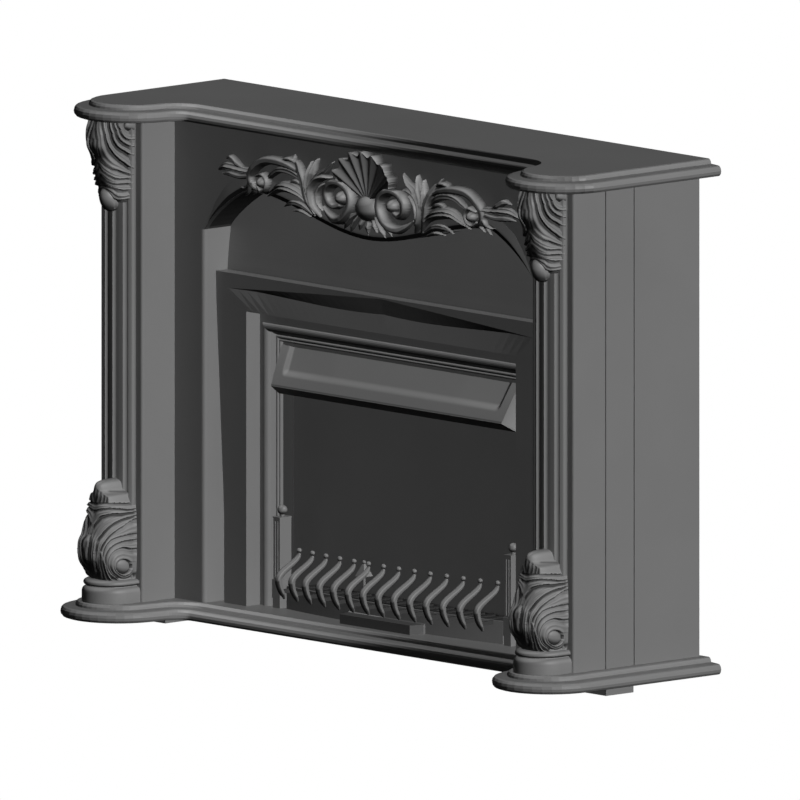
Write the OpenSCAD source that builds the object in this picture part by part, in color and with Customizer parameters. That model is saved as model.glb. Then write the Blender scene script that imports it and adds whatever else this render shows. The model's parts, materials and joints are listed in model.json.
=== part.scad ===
// Cast iron fireplace: a mantel surround with reeded pilasters, carved brackets and an arched
// frieze, round a shallow open fire with a canopy, a bow-fronted fret, a riddling grate, an
// ash pan, a throat damper and a rear flue spigot.
// Millimetres. Z is up, -Y is the front. The origin is on the floor under the middle of the
// overall box. Depths called _d are measured forwards from the back of the casing.

/* [Casing] */
// Width of a jamb, from the opening to the outer side face
jamb_w = 212; // [190:1:230]
// Height of the frieze above the peaks of the arch
frieze_h = 125; // [110:1:160]
// Depth of the side and back casing
casing_d = 178; // [172:1:200]
// Depth of the jambs, in front of the casing
jamb_t = 74; // [64:1:90]
// Projection of the pilasters in front of the jambs
pilaster_proj = 88; // [70:1:100]
// Width of a pilaster
pilaster_w = 124; // [112:1:134]
// Wall thickness of the surround castings
wall = 8; // [6:0.5:10]
// Thickness of the back panel
back_t = 3; // [2:0.5:6]
// Radius of the vertical edges of the pilasters
edge_r = 5; // [1:0.5:6]
// Radius of the jambs' edge at the opening
jamb_edge_r = 8; // [4:0.5:12]
// Width and depth of the shadow groove between two castings
groove = 3; // [1:0.5:4]
// Height of the feet below the base
foot_h = 22; // [12:1:40]
// Width of a foot
foot_w = 96; // [60:1:110]
// Distance of the rear feet from the side faces
rear_foot_in = 150; // [120:1:200]

/* [Shelf and base mouldings] */
// Thickness of the wide rounded ledge
ledge_t = 22; // [16:1:30]
// Thickness of the narrower slab on the ledge
slab_t = 11; // [8:1:16]
// Overhang of the ledge beyond the side faces
ledge_over = 54; // [44:1:64]
// Overhang of the slab beyond the side faces
slab_over = 24; // [12:1:36]
// How far the ledge's rounded nose curls in
nose_in = 9; // [4:1:12]
// How far the slab's rounded edge curls in
slab_in = 7; // [3:1:9]
// Distance that shelf and base reach behind the casing, to the wall
rear_over = 10; // [6:1:20]
// Depth of the middle front edge of shelf and base
middle_d = 296; // [286:1:310]
// Depth of the ear centres of the base
base_ear_d = 348; // [340:1:370]
// Depth of the ear centres of the shelf
shelf_ear_d = 312; // [304:1:330]
// Flare of the ears' inner sides, degrees
ear_flare = 9; // [4:1:14]
// Radius of the hollow corner between an ear and the front edge
corner_r = 36; // [20:1:38]
// Thickness of metal over the ribbed underside of shelf and base
plate_t = 10; // [8:0.5:12]

/* [Arched opening] */
// Height of the arch springing above the base
spring_h = 755; // [735:1:790]
// Rise of the arch above its springing
arch_rise = 95; // [70:1:110]
// Width of each rounded corner of the arch
arch_corner_w = 133; // [110:1:150]
// Drop of the arch's middle below its peaks
pendant_drop = 62; // [40:1:70]
// Fullness of the arch's corners: 1 is a straight slope, 2 a quarter ellipse
arch_fullness = 1.25; // [1.1:0.05:2]
// Thickness of the frieze plate
frieze_t = 12; // [8:1:14]
// Height of the leaning register plate above the peaks of the arch
register_over = 3; // [1:0.5:6]
// Overlap of the register plate behind the trim
register_lap = 12; // [8:1:20]
// Lean of the register plate from bottom to top
register_lean = 24; // [16:1:30]
// Thickness of the register plate
register_t = 5; // [4:0.5:8]

/* [Pilaster shaft] */
// Width of the reeded shaft on the pilaster
shaft_w = 98; // [80:1:104]
// Projection of the shaft in front of the pilaster
shaft_proj = 18; // [12:1:24]
// Number of flutes in the shaft
flute_count = 5; // [3:1:7]
// Radius of a flute
flute_r = 6.5; // [4:0.5:7]

/* [Brackets and pedestals] */
// Width of the carved brackets
bracket_w = 84; // [76:1:92]
// Height of the upper bracket
upper_bracket_h = 190; // [160:1:210]
// Projection of the upper bracket in front of the pilaster
upper_bracket_proj = 76; // [60:1:78]
// Height of the lower bracket
lower_bracket_h = 200; // [170:1:230]
// Projection of the lower bracket in front of the pilaster
lower_bracket_proj = 97; // [84:1:100]
// Height of the pedestal block under the lower bracket
pedestal_h = 32; // [24:1:40]
// Height of the round ring on the pedestal
ring_h = 14; // [10:1:18]
// Half width of the pedestal
pedestal_r = 57; // [52:1:61]
// Projection of the pedestal in front of the pilaster
pedestal_proj = 87; // [80:1:95]

/* [Frieze carving] */
// Distance from the jambs to the tips of the carving
carving_end_in = 52; // [42:1:80]
// Distance from the middle to the eye of a volute beside the shell
volute_x = 78; // [76:1:84]
// Radius of a volute beside the shell
volute_r = 25; // [20:1:26]
// Radius of the shell
shell_r = 94; // [80:1:98]
// Number of ribs in the shell
shell_ribs = 7; // [5:2:9]
// Relief of the carving in front of the frieze
relief = 26; // [16:1:32]

/* [Fire trim] */
// Width of the trim's stiles
trim_stile_w = 91; // [80:1:100]
// Height of the trim's head
trim_head_h = 73; // [60:1:80]
// Depth of the trim's front face
trim_front_d = 221; // [216:1:228]
// Depth of the trim's back
trim_back_d = 192; // [188:1:196]
// How much wider the flat band of the trim's head is at its ends than in its middle
trim_band = 28; // [20:1:30]
// Width of the flat band in the middle of the trim's head
trim_edge = 3; // [2:0.5:6]
// Depth of the crease of the trim's head at its ends
trim_hollow = 5; // [4:0.5:9]
// How much deeper the crease is in the middle of the head
trim_hollow_more = 2; // [1:0.5:6]
// Width of the bevel on the lower part of the trim's stiles
stile_bevel = 26; // [12:1:36]
// How far that bevel turns back
stile_turn = 22.5; // [10:0.5:24]

/* [Firebox] */
// Width inside the firebox
firebox_w = 776; // [760:1:790]
// Height of the firebox under the throat
firebox_h = 545; // [536:1:560]
// Width of the frame's flat beside the bead on each side
frame_flat_side = 6; // [4:0.5:10]
// Width of the frame's flat above the bead
frame_flat_head = 22; // [16:0.5:26]
// How far the frame's stiles reach in front of the cheeks
frame_side_lip = 32; // [26:1:34]
// How far the frame's head reaches below the throat
frame_head_lip = 10; // [8:1:14]
// Depth of the front of the firebox
firebox_front_d = 184; // [180:1:186]
// Depth of the fireback's face
fireback_d = 104; // [98:1:110]
// Thickness of the fireback
fireback_t = 12; // [8:1:16]
// Thickness of the firebox cheeks
cheek_t = 8; // [6:1:10]
// Radius of the bead round the firebox
bead_r = 10; // [8:0.5:11]

/* [Canopy] */
// Gap between the canopy's ends and the frame
canopy_end_gap = 2; // [1:0.5:4]
// How much shorter the canopy's lip is than its top, at each end
canopy_lip_in = 11; // [6:1:24]
// Height of the canopy above its lip
canopy_rise = 78; // [66:1:90]
// Drop of the canopy's top below the throat
canopy_drop = 16; // [12:1:24]
// Depth of the canopy's lip
canopy_lip_d = 207; // [200:1:212]
// Depth of the canopy's top
canopy_top_d = 167; // [167:1:171]
// Height of the return under the lip
canopy_return = 19; // [12:1:24]
// How far the return runs back from the lip
canopy_return_in = 31; // [20:1:36]
// Least thickness of the lugs that carry the canopy
canopy_lug_t = 5; // [4:0.5:5]
// Height of the underside of the canopy's lugs over its return
canopy_lug_rise = 4; // [2:0.5:6]
// Height of the top of the canopy's lugs over its return
canopy_lug_top = 39; // [30:1:44]
// Height of the raised panel on the canopy
canopy_panel = 4; // [2:0.5:6]
// Thickness of the canopy
canopy_t = 5; // [4:0.5:6]

/* [Fret] */
// Number of bars in the fret
bar_count = 14; // [10:1:14]
// Distance from the apron's end to its first bar
bar_margin = 26.9; // [24:0.1:36]
// Width of a bar
bar_w = 14; // [10:0.5:20]
// Thickness of a bar at its waist
bar_t = 13; // [9:0.5:15]
// Height of the bars' lower tips above the base
bar_tip_z = 27; // [26:0.5:32]
// Height of the bars' waist above the base
bar_waist_z = 66; // [60:0.5:74]
// Height of the ball centres above the base
ball_z = 120; // [112:1:130]
// Radius of the balls
ball_r = 5.2; // [4:0.1:7]
// Forward reach of the waist in front of the apron
waist_reach = 42; // [34:1:48]
// Bow of the fret in plan
fret_bow = 24; // [16:1:30]
// Gap between the apron's ends and the feet of the posts
apron_gap = 10.2; // [4:0.1:14]
// Height of the apron
apron_h = 46; // [42:1:52]
// Depth of the apron's front at its ends
apron_d = 184; // [180:1:188]
// Thickness of the apron
apron_t = 7; // [5:0.5:9]

/* [Fire posts] */
// Gap between a post's foot and the frame
post_gap = 0.8; // [0.5:0.1:6]
// Width of a post
post_w = 19; // [14:0.5:20]
// Depth of a post
post_deep = 31; // [24:1:34]
// Depth of a post's front
post_front_d = 191; // [189:1:194]
// Height of a post
post_h = 181; // [160:1:220]
// Radius of the ball on a post
post_ball_r = 10; // [7:0.5:12]

/* [Grate and ash pan] */
// Travel of the riddling grate to each side
riddle_travel = 12; // [8:1:14]
// Width of a grate bearer
bearer_w = 18; // [14:1:24]
// Thickness of the grate
grate_t = 12; // [9:1:13]
// Height of the grate bearers
bearer_h = 30; // [28:0.5:32]
// Number of slots in the grate
grate_slots = 20; // [12:1:24]
// Width of a slot
slot_w = 14; // [8:1:18]
// Distance of the riddling knob from the middle
knob_x = 106; // [80:1:160]
// Height of the riddling knob's tip above the base
knob_z = 121; // [110:1:130]
// Half width of the ash pan
pan_half = 112; // [90:1:130]
// Height of the ash pan
pan_h = 19; // [14:0.5:20]
// Thickness of the ash pan's sheet
pan_t = 1.5; // [1:0.1:3]
// Projection of the pan's front beyond the apron
pan_proj = 30; // [20:1:32]

/* [Flue] */
// Inner radius of the flue spigot
flue_r = 75; // [60:1:80]
// Wall of the flue spigot
flue_wall = 4; // [3:0.5:5]
// Height of the flue's centre above the throat
flue_rise = 100; // [96:1:104]
// Length of the spigot that stands out behind the casing
flue_out = 8; // [4:1:10]
// Height of the smoke box
smoke_h = 188; // [180:1:192]
// Half width of the smoke box
smoke_half = 210; // [200:1:260]
// Thickness of the smoke box's sheet
smoke_t = 3; // [2:0.5:4]
// Depth of the back of the smoke box
smoke_back_d = 14; // [12:1:20]
// Radius of the damper's spindle
spindle_r = 5; // [4:0.5:6]
// Thickness of the damper flap
flap_t = 6; // [4:0.5:8]

/* [Fixings] */
// Radius of the wall screw holes in the back panel
wall_hole_r = 4.5; // [3:0.5:7]
// Distance from the side faces to the wall screw holes
wall_hole_in = 84; // [60:1:120]
// Distance from shelf and base to the wall screw holes
wall_hole_end = 107.5; // [80:0.5:180]
// Radius of the bolt heads
bolt_r = 8; // [6:0.5:10]

/* [Fits] */
// Clearance of pieces that slide or lift out
slide_gap = 2; // [1:0.5:4]
// Radial clearance of a spindle in its bore
spindle_gap = 0.08; // [0.05:0.01:0.1]
// Side play between the damper and its lugs
side_play = 0.5; // [0.3:0.1:1]

/* [Hidden] */

$fn = 48;
iron = "dimgray";
iron_light = "gray";
steel = "slategray";
bead_run = 2 * bead_r + 19;
frame_stile_w = frame_flat_side + bead_run;
frame_head_h = frame_flat_head + bead_run;
trim_opening_w = firebox_w + 2 * (frame_stile_w - frame_side_lip);
trim_opening_h = firebox_h + frame_head_h - frame_head_lip;
opening_w = trim_opening_w + 2 * trim_stile_w;
body_w = opening_w + 2 * jamb_w;
column_h = spring_h + arch_rise + frieze_h;
ear_r = pilaster_w / 2 + ledge_over;
ear_x = body_w / 2 - pilaster_w / 2;
jamb_d = casing_d + jamb_t;
front_d = jamb_d + pilaster_proj;
moulding_t = ledge_t + slab_t;
base_z = foot_h;
floor_z = foot_h + moulding_t;
shelf_z = floor_z + column_h;
total_h = shelf_z + moulding_t;
deepest = max(base_ear_d, shelf_ear_d) + ear_r;
back_y = (deepest + rear_over) / 2 - rear_over;
half_w = body_w / 2;
half_open = opening_w / 2;
half_trim = trim_opening_w / 2;
half_fire = firebox_w / 2;
spring_z = floor_z + spring_h;
peak_z = spring_z + arch_rise;
peak_x = half_open - arch_corner_w;
trim_in_z = floor_z + trim_opening_h;
trim_top_z = trim_in_z + trim_head_h;
fire_top_z = floor_z + firebox_h;
frame_in_half = half_trim - frame_stile_w;
frame_back_d = firebox_front_d - 22;
canopy_end_half = frame_in_half - canopy_end_gap;
canopy_lip_half = canopy_end_half - canopy_lip_in;
canopy_top_z = firebox_h - canopy_drop;
canopy_lip_z = canopy_top_z - canopy_rise;
post_foot = 2;
post_x = frame_in_half - post_gap - post_w / 2 - post_foot;
post_inner = post_x - post_w / 2 - post_foot;
apron_half = post_inner - apron_gap;
bar_pitch = 2 * (apron_half - bar_margin) / (bar_count - 1);
grate_half = post_inner - riddle_travel - slide_gap;
apron_radius = (apron_half * apron_half + fret_bow * fret_bow) / (2 * fret_bow);
grate_z = floor_z + bearer_h;
grate_front_d = apron_d - apron_t - 3;
grate_back_d = fireback_d + 3;
smoke_top_z = fire_top_z + smoke_h;
smoke_front_d = frame_back_d;
flue_axis_z = fire_top_z + flue_rise;
throat_back_d = fireback_d - fireback_t;
spindle_d = throat_back_d - 14;
spindle_z = fire_top_z + smoke_t + spindle_r + 5;

// Y of a plane that lies d in front of the casing's back
function yd(d) = back_y - d;

// Box between two x, two depths and two heights
module block(x0, x1, d0, d1, z0, z1) {
    translate([x0, yd(d1), z0]) cube([x1 - x0, d1 - d0, z1 - z0]);
}

// Profile of [-depth, z] points, drawn out along X
module along_x(x0, x1) {
    translate([x0, back_y, 0]) rotate([90, 0, 90]) linear_extrude(x1 - x0) children();
}

// Outline of [x, z] points, drawn out from depth d0 to d1
module along_y(d0, d1) {
    translate([0, yd(d0), 0]) rotate([90, 0, 0]) linear_extrude(d1 - d0) children();
}

// Plan of [x, -depth] points, drawn out in height
module along_z(z0, z1) {
    translate([0, back_y, z0]) linear_extrude(z1 - z0) children();
}

// The right-hand piece, mirrored from the left-hand one
module opposite() {
    mirror([1, 0, 0]) children();
}

// ---------- shelf and base ----------

// Plan of the moulding, drawn in by inset everywhere but at the wall
function plan_ring(inset, ear_d) =
    let (r = ear_r - inset,
         hollow = corner_r + inset,
         side = half_w + ledge_over - inset,
         steps = 9,
         turn = 90 - ear_flare,
         hollow_d = middle_d + corner_r,
         run = (r + hollow - (hollow_d - ear_d) * sin(ear_flare)) / cos(ear_flare),
         hollow_x = -ear_x + run,
         angles = concat([for (i = [0:steps]) 180 + 90 * i / steps],
                         [for (i = [1:steps]) 270 + turn * i / steps]),
         left = concat(
             [for (a = angles) [-ear_x + r * cos(a), -ear_d + r * sin(a)]],
             [for (i = [0:steps - 1])
                 let (a = 180 - ear_flare - turn * i / steps)
                 [hollow_x + hollow * cos(a), -hollow_d + hollow * sin(a)]],
             [[hollow_x, -(middle_d - inset)]]))
    concat(
        [[side, rear_over], [-side, rear_over]],
        left,
        [for (i = [len(left) - 1:-1:0]) [-left[i][0], left[i][1]]]);

// Height and inset of each ring of the moulding, from the bottom up
function moulding_rings() = concat(
    [for (a = [-90:30:90]) [ledge_t / 2 * (1 + sin(a)), nose_in * (1 - cos(a))]],
    [for (a = [6, 30, 60, 90])
        [ledge_t + slab_t * sin(a), ledge_over - slab_over + slab_in * (1 - cos(a))]]);

// The plan's points in convex parts: the middle, each ear and its hollow corner
function plan_parts(count) =
    let (end = count / 2,
         ear_end = 2 * end / 3)
    concat(
        [[0, 1, end, end + 1],
         [for (i = [1:ear_end]) i],
         concat([for (i = [2 * end + 1 - ear_end:count - 1]) i], [0])],
        [for (i = [ear_end:end - 1]) [1, i, i + 1]],
        [for (i = [end + 1:2 * end - ear_end]) [0, i, i + 1]]);

// Triangles between stacked rings of points
function skin_faces(rings, count) = [for (k = [0:rings - 2])
    for (i = [0:count - 1])
        for (half = [0, 1])
            let (a = k * count + i, b = k * count + (i + 1) % count)
            half == 0 ? [a, a + count, b + count] : [a, b + count, b]];

module moulding(z, ear_d) {
    rings = moulding_rings();
    count = len(plan_ring(0, ear_d));
    points = [for (ring = rings)
        for (p = plan_ring(ring[1], ear_d)) [p[0], p[1] + back_y, z + ring[0]]];
    top = (len(rings) - 1) * count;
    caps = concat([for (part = plan_parts(count)) part],
        [for (part = plan_parts(count)) [for (i = [len(part) - 1:-1:0]) top + part[i]]]);
    polyhedron(points, concat(caps, skin_faces(len(rings), count)), convexity = 6);
}

// Pockets between the ribs on the underside of shelf and base
module rib_pockets(z, x_limit, d_limit) {
    columns = ceil(2 * x_limit / 140);
    rows = 2;
    cell_x = 2 * x_limit / columns;
    cell_d = d_limit / rows;
    for (i = [0:columns - 1])
        for (j = [0:rows - 1])
            block(-x_limit + i * cell_x + wall / 2, -x_limit + (i + 1) * cell_x - wall / 2,
                j * cell_d + wall / 2, (j + 1) * cell_d - wall / 2,
                z - 1, z + moulding_t - plate_t);
}

module base_moulding() {
    color(iron) difference() {
        moulding(base_z, base_ear_d);
        rib_pockets(base_z, half_w - rear_foot_in - foot_w - 2 * wall, jamb_d);
    }
}

module mantel_shelf() {
    color(iron) difference() {
        moulding(shelf_z, shelf_ear_d);
        rib_pockets(shelf_z, half_w - 2 * wall, casing_d - wall);
    }
}

module foot_pair(inset, d0, d1) {
    for (side = [-1, 1])
        let (x = side * (half_w - inset - foot_w / 2))
            block(x - foot_w / 2, x + foot_w / 2, d0, d1, 0, base_z);
}

module feet_front() {
    color(iron) foot_pair(0, casing_d, jamb_d);
}

module feet_rear() {
    color(iron) foot_pair(rear_foot_in, wall, wall + jamb_t);
}

// ---------- casing ----------

// Jamb: front plate, inner reveal, outer side and a stiffening rib, open at the back
module jamb_left() {
    color(iron) difference() {
        block(-half_w, -half_open, casing_d, jamb_d, floor_z, shelf_z);
        jamb_pocket(-half_w + wall, -half_w + pilaster_w - wall);
        jamb_pocket(-half_w + pilaster_w, -half_open - wall);
        groove_cut(casing_d);
        jamb_rounding();
    }
}

// What is cut off a jamb's edge below the arch to round it
module jamb_rounding() {
    difference() {
        block(-half_open - jamb_edge_r, -half_open + 1, jamb_d - jamb_edge_r, jamb_d + 1,
            floor_z - 1, spring_z);
        translate([-half_open - jamb_edge_r, yd(jamb_d - jamb_edge_r), floor_z - 2])
            cylinder(r = jamb_edge_r, h = column_h);
    }
}

module jamb_pocket(x0, x1) {
    block(x0, x1, casing_d - 1, jamb_d - wall, floor_z + wall, shelf_z - wall);
}

// Shadow groove in the outer face, at a seam
module groove_cut(d) {
    block(-half_w - 1, -half_w + groove, d - 1, d + groove, floor_z - 1, shelf_z + 1);
}

module jamb_right() {
    opposite() jamb_left();
}

// Lower edge of the frieze: rounded corners, two peaks and a curved pendant in the middle
function arch_points(inset) =
    let (corner = [for (a = [180:-9:90])
                    [-peak_x - (arch_corner_w - inset) * pow(abs(cos(a)), 2 / arch_fullness),
                     spring_z + (arch_rise - inset) * pow(sin(a), 2 / arch_fullness)]],
         pendant = [for (i = [1:11])
                    let (t = i / 12)
                    [-peak_x * (1 - 2 * t),
                     peak_z - inset - pendant_drop * (1 - cos(360 * t)) / 2]])
    concat(corner, pendant, [for (i = [len(corner) - 1:-1:0]) [-corner[i][0], corner[i][1]]]);

module frieze() {
    color(iron) along_y(jamb_d - frieze_t, jamb_d)
        polygon(concat(arch_points(0), [[half_open, shelf_z], [-half_open, shelf_z]]));
}

// Curved soffit behind the frieze's lower edge, cut off at the leaning register plate
module arch_soffit() {
    color(iron) difference() {
        along_y(casing_d - register_lean, jamb_d - frieze_t)
            polygon(concat(arch_points(0),
                [[half_open, peak_z + wall], [-half_open, peak_z + wall]]));
        along_y(casing_d - register_lean - 1, jamb_d - frieze_t - wall)
            polygon([[-peak_x, peak_z + 2 * wall], [-peak_x, peak_z - 0.1 * arch_rise],
                [0, peak_z - pendant_drop + wall + 4], [peak_x, peak_z - 0.1 * arch_rise],
                [peak_x, peak_z + 2 * wall]]);
        along_x(-body_w, body_w) polygon(register_profile(-casing_d - 20));
    }
}

module side_panel_left() {
    color(iron) difference() {
        block(-half_w, -half_w + wall, 0, casing_d, floor_z, shelf_z);
        groove_cut(casing_d - groove + 1);
    }
}

module side_panel_right() {
    opposite() side_panel_left();
}

// Back panel with the flue hole and four wall screw holes
module back_panel() {
    color(steel) difference() {
        block(-half_w + wall, half_w - wall, 0, back_t, floor_z, shelf_z);
        translate([0, yd(-1), flue_axis_z]) rotate([90, 0, 0])
            cylinder(r = flue_r + flue_wall + slide_gap, h = back_t + 2, $fn = 96);
        for (x = [-1, 1])
            for (z = [-1, 1])
                translate([x * (half_w - wall_hole_in), yd(-1),
                    floor_z + column_h / 2 + z * (column_h / 2 - wall_hole_end)])
                    rotate([90, 0, 0]) cylinder(r = wall_hole_r, h = back_t + 2);
    }
}

// ---------- pilasters ----------

// Hollow-backed pilaster with rounded edges
module pilaster_left() {
    color(iron) difference() {
        along_z(floor_z, shelf_z) translate([-ear_x, 0]) pilaster_plan();
        block(-half_w + wall, -half_w + pilaster_w - wall, jamb_d - 1, front_d - wall,
            floor_z + wall, shelf_z - wall);
        groove_cut(jamb_d);
    }
}

module pilaster_plan() {
    polygon(concat(
        [[-pilaster_w / 2, -jamb_d]],
        [for (a = [180:22.5:270])
            [-pilaster_w / 2 + edge_r + edge_r * cos(a), -front_d + edge_r + edge_r * sin(a)]],
        [for (a = [270:22.5:360])
            [pilaster_w / 2 - edge_r + edge_r * cos(a), -front_d + edge_r + edge_r * sin(a)]],
        [[pilaster_w / 2, -jamb_d]]));
}

module pilaster_right() {
    opposite() pilaster_left();
}

// Half-round shaft with flutes, standing on the pedestal and reaching the shelf
module shaft_left() {
    color(iron_light) along_z(floor_z + pedestal_h + ring_h, shelf_z)
        translate([-ear_x, -front_d]) difference() {
            polygon([for (a = [180:7.5:360])
                [shaft_w / 2 * cos(a), shaft_proj * sin(a)]]);
            for (i = [0:flute_count - 1])
                let (a = 180 + 180 * (i + 0.5) / flute_count)
                    translate([shaft_w / 2 * cos(a), (shaft_proj + 1) * sin(a)])
                        circle(r = flute_r);
        }
}

module shaft_right() {
    opposite() shaft_left();
}

// ---------- brackets ----------

// Half width and projection of the upper bracket at t, from its leaf tip to the shelf:
// a leaf tip, a long sweep and a full bulge just under the shelf
function upper_bracket_w(t) = bracket_w / 2 * min(1, 0.3 + 4.2 * t);
function upper_bracket_p(t) = upper_bracket_proj * (t < 0.8
    ? 0.34 + 0.3 * sin(90 * min(1, t / 0.2)) + 0.36 * pow(max(0, t - 0.2) / 0.6, 1.6)
    : 1 - 2.2 * pow(t - 0.8, 2));

// The same for the lower bracket, from the pedestal to its top: a scroll that leans back
function lower_bracket_w(t) = bracket_w / 2 * (t < 0.8 ? 1.08 : 1.08 - 2.6 * pow(t - 0.8, 1.2));
function lower_bracket_p(t) = lower_bracket_proj * (t < 0.34
    ? 0.66 + 0.34 * sin(90 * t / 0.34)
    : 0.52 + 0.48 * pow(cos(90 * (t - 0.34) / 0.66), 0.8));

// Plan of a bracket, as deep as p and as wide as 2 w, with full rounded corners
function bracket_ring(w, p) = concat([[-ear_x + w, -front_d], [-ear_x - w, -front_d]],
    [for (a = [-90:15:90])
        let (c = pow(abs(cos(a)), 0.57), q = sign(a) * pow(abs(sin(a)), 0.57))
        [-ear_x + w * q, -front_d - p * c - 0.4]]);

// Body of a bracket, from stacked rings
module bracket_body(z, h, widths, projections) {
    rows = len(widths) - 1;
    count = len(bracket_ring(1, 1));
    points = [for (k = [0:rows])
        for (p = bracket_ring(widths[k], projections[k])) [p[0], p[1] + back_y, z + h * k / rows]];
    polyhedron(points, concat([[for (i = [0:count - 1]) i]], skin_faces(rows + 1, count),
        [[for (i = [count - 1:-1:0]) rows * count + i]]), convexity = 4);
}

// Round eye and rings of a scroll that stand out on both flanks of a bracket
module bracket_volute(d, z, r, half) {
    for (step = [0:2])
        translate([-ear_x, yd(d), z]) rotate([0, 90, 0])
            cylinder(r = r * (1 - 0.28 * step), h = 2 * half + 4 * step, center = true);
}

lower_volute_r = 28;

module upper_bracket_left() {
    rows = 10;
    color(iron_light) difference() {
        union() {
            bracket_body(shelf_z - upper_bracket_h, upper_bracket_h,
                [for (k = [0:rows]) upper_bracket_w(k / rows)],
                [for (k = [0:rows]) upper_bracket_p(k / rows)]);
            bracket_volute(front_d + volute_r, shelf_z - volute_r - 2, volute_r - 1, bracket_w / 2 - 2);
        }
        shaft_space();
    }
}

module upper_bracket_right() {
    opposite() upper_bracket_left();
}

module lower_bracket_left() {
    rows = 10;
    z = floor_z + pedestal_h + ring_h;
    color(iron_light) difference() {
        union() {
            bracket_body(z, lower_bracket_h,
                [for (k = [0:rows]) lower_bracket_w(k / rows)],
                [for (k = [0:rows]) lower_bracket_p(k / rows)]);
            bracket_volute(front_d + 40, z + lower_volute_r + 1, lower_volute_r, bracket_w / 2 + 2);
        }
        shaft_space();
    }
}

module lower_bracket_right() {
    opposite() lower_bracket_left();
}

// Room for the shaft behind a bracket
module shaft_space() {
    along_z(floor_z, shelf_z + 1) translate([-ear_x, -front_d])
        polygon([for (a = [180:7.5:360])
            [(shaft_w / 2 + 0.3) * cos(a), (shaft_proj + 0.3) * sin(a)]]);
}

// D-shaped plan of the pedestal
module pedestal_plan(inset) {
    r = pedestal_r - inset;
    centre = front_d + pedestal_proj - pedestal_r;
    polygon(concat(
        [[-ear_x + r, -front_d], [-ear_x - r, -front_d]],
        [for (a = [180:12:360]) [-ear_x + r * cos(a), -centre + r * sin(a)]]));
}

module pedestal_left() {
    chamfer = 8;
    color(iron_light) {
        along_z(floor_z, floor_z + pedestal_h - chamfer) pedestal_plan(0);
        for (k = [0:3])
            along_z(floor_z + pedestal_h - chamfer + 2 * k, floor_z + pedestal_h - chamfer + 2 * (k + 1))
                pedestal_plan(1 + 2 * k);
        for (k = [-2:2])
            along_z(floor_z + pedestal_h + ring_h / 2 + (k - 0.5) * ring_h / 5,
                floor_z + pedestal_h + ring_h / 2 + (k + 0.5) * ring_h / 5)
                pedestal_plan(4 + k * k);
    }
}

module pedestal_right() {
    opposite() pedestal_left();
}

// ---------- frieze carving ----------

shell_z = shelf_z - shell_r - 4;
shell_spread = 72;

// Relief of the shell's face: ribs that deepen towards a scalloped rim
function shell_wave(a) = abs(cos(90 * shell_ribs * a / shell_spread));
function shell_rim(a) = shell_r * (0.92 + 0.08 * shell_wave(a));
function shell_face(a, t) = relief * (0.45 + 0.55 * t) * (0.55 + 0.45 * t * shell_wave(a)) + 3;

// Scallop shell that fans out from its hinge, flat at the back
module shell_crest() {
    spread = shell_spread;
    angle_steps = shell_ribs * 6;
    radial_steps = 5;
    ring = 2 * (angle_steps + 1);
    points = [for (k = [0:radial_steps])
        let (t = k / radial_steps)
        for (i = [0:ring - 1])
            let (front = i <= angle_steps,
                 a = front ? -spread + 2 * spread * i / angle_steps
                     : spread - 2 * spread * (i - angle_steps - 1) / angle_steps,
                 r = 10 + (shell_rim(a) - 10) * t)
            [r * sin(a), yd(jamb_d) - (front ? shell_face(a, t) : 0), shell_z + r * cos(a)]];
    color(iron_light)
        polyhedron(points, concat(strip_caps(0, angle_steps, ring, false),
            skin_faces(radial_steps + 1, ring),
            strip_caps(radial_steps, angle_steps, ring, true)), convexity = 8);
}

// Triangles that close a ring of front and back points, rib by rib
function strip_caps(k, steps, ring, flip) = [for (i = [0:steps - 1])
    for (half = [0, 1])
        let (f0 = k * ring + i, f1 = f0 + 1, b0 = k * ring + ring - 1 - i, b1 = b0 - 1)
        half == 0 ? (flip ? [f0, b0, f1] : [f0, f1, b0])
            : (flip ? [f1, b0, b1] : [f1, b1, b0])];

// Carved leaf in two steps of relief. Its middle line bends from a to c towards b, and its
// half width goes from w[0] through w[1] to w[2]. The upper step is drawn in all round
function bend(a, b, c, t) = a * (1 - t) * (1 - t) + b * 2 * t * (1 - t) + c * t * t;
function leaf_edge(a, b, c, w, side, share) = [for (i = [0:leaf_steps])
    let (ends = 0.13 * (1 - share),
         t = ends + (1 - 2 * ends) * i / leaf_steps,
         run = (b - a) * (1 - t) + (c - b) * t,
         n = norm(run))
    bend(a, b, c, t) + side * share * bend(w[0], w[1], w[2], t) * [-run[1], run[0]] / n];
leaf_steps = 8;

module leaf(a, b, c, w, share) {
    rear = leaf_edge(a, b, c, w, -1, share);
    polygon(concat(leaf_edge(a, b, c, w, 1, share), [for (i = [leaf_steps:-1:0]) rear[i]]));
}

// Carving seen from the front, in two steps of relief
module carved() {
    for (step = [0, 1])
        translate([0, yd(jamb_d), shell_z]) rotate([90, 0, 0])
            linear_extrude(relief * (step == 0 ? 0.42 : 0.8)) children(step);
}

// C-scrolls on both sides of the shell, with drops under it
module crest_outline(share) {
    for (side = [0, 1]) mirror([side, 0]) {
        difference() {
            translate([volute_x, -10]) circle(r = volute_r - (1 - share) * 5);
            translate([volute_x, -10]) circle(r = volute_r - 13 + (1 - share) * 5);
        }
        translate([volute_x, -10]) circle(r = 8 * share);
        leaf([50, -5], [48, -62], [128, -38], [8, 16, 2], share);
        leaf([28, -50], [36, -62], [60, -74], [5, 6, 1], share);
    }
    leaf([0, -54], [0, -64], [0, -78], [5, 6, 1], share);
}

// Boss under the shell, with the two C-scrolls and the drops
module crest_scrolls() {
    color(iron_light) {
        translate([0, yd(jamb_d), shell_z - 24]) rotate([90, 0, 0])
            cylinder(r1 = 25, r2 = 16, h = relief);
        carved() {
            crest_outline(1);
            crest_outline(0.55);
        }
    }
}

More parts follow.
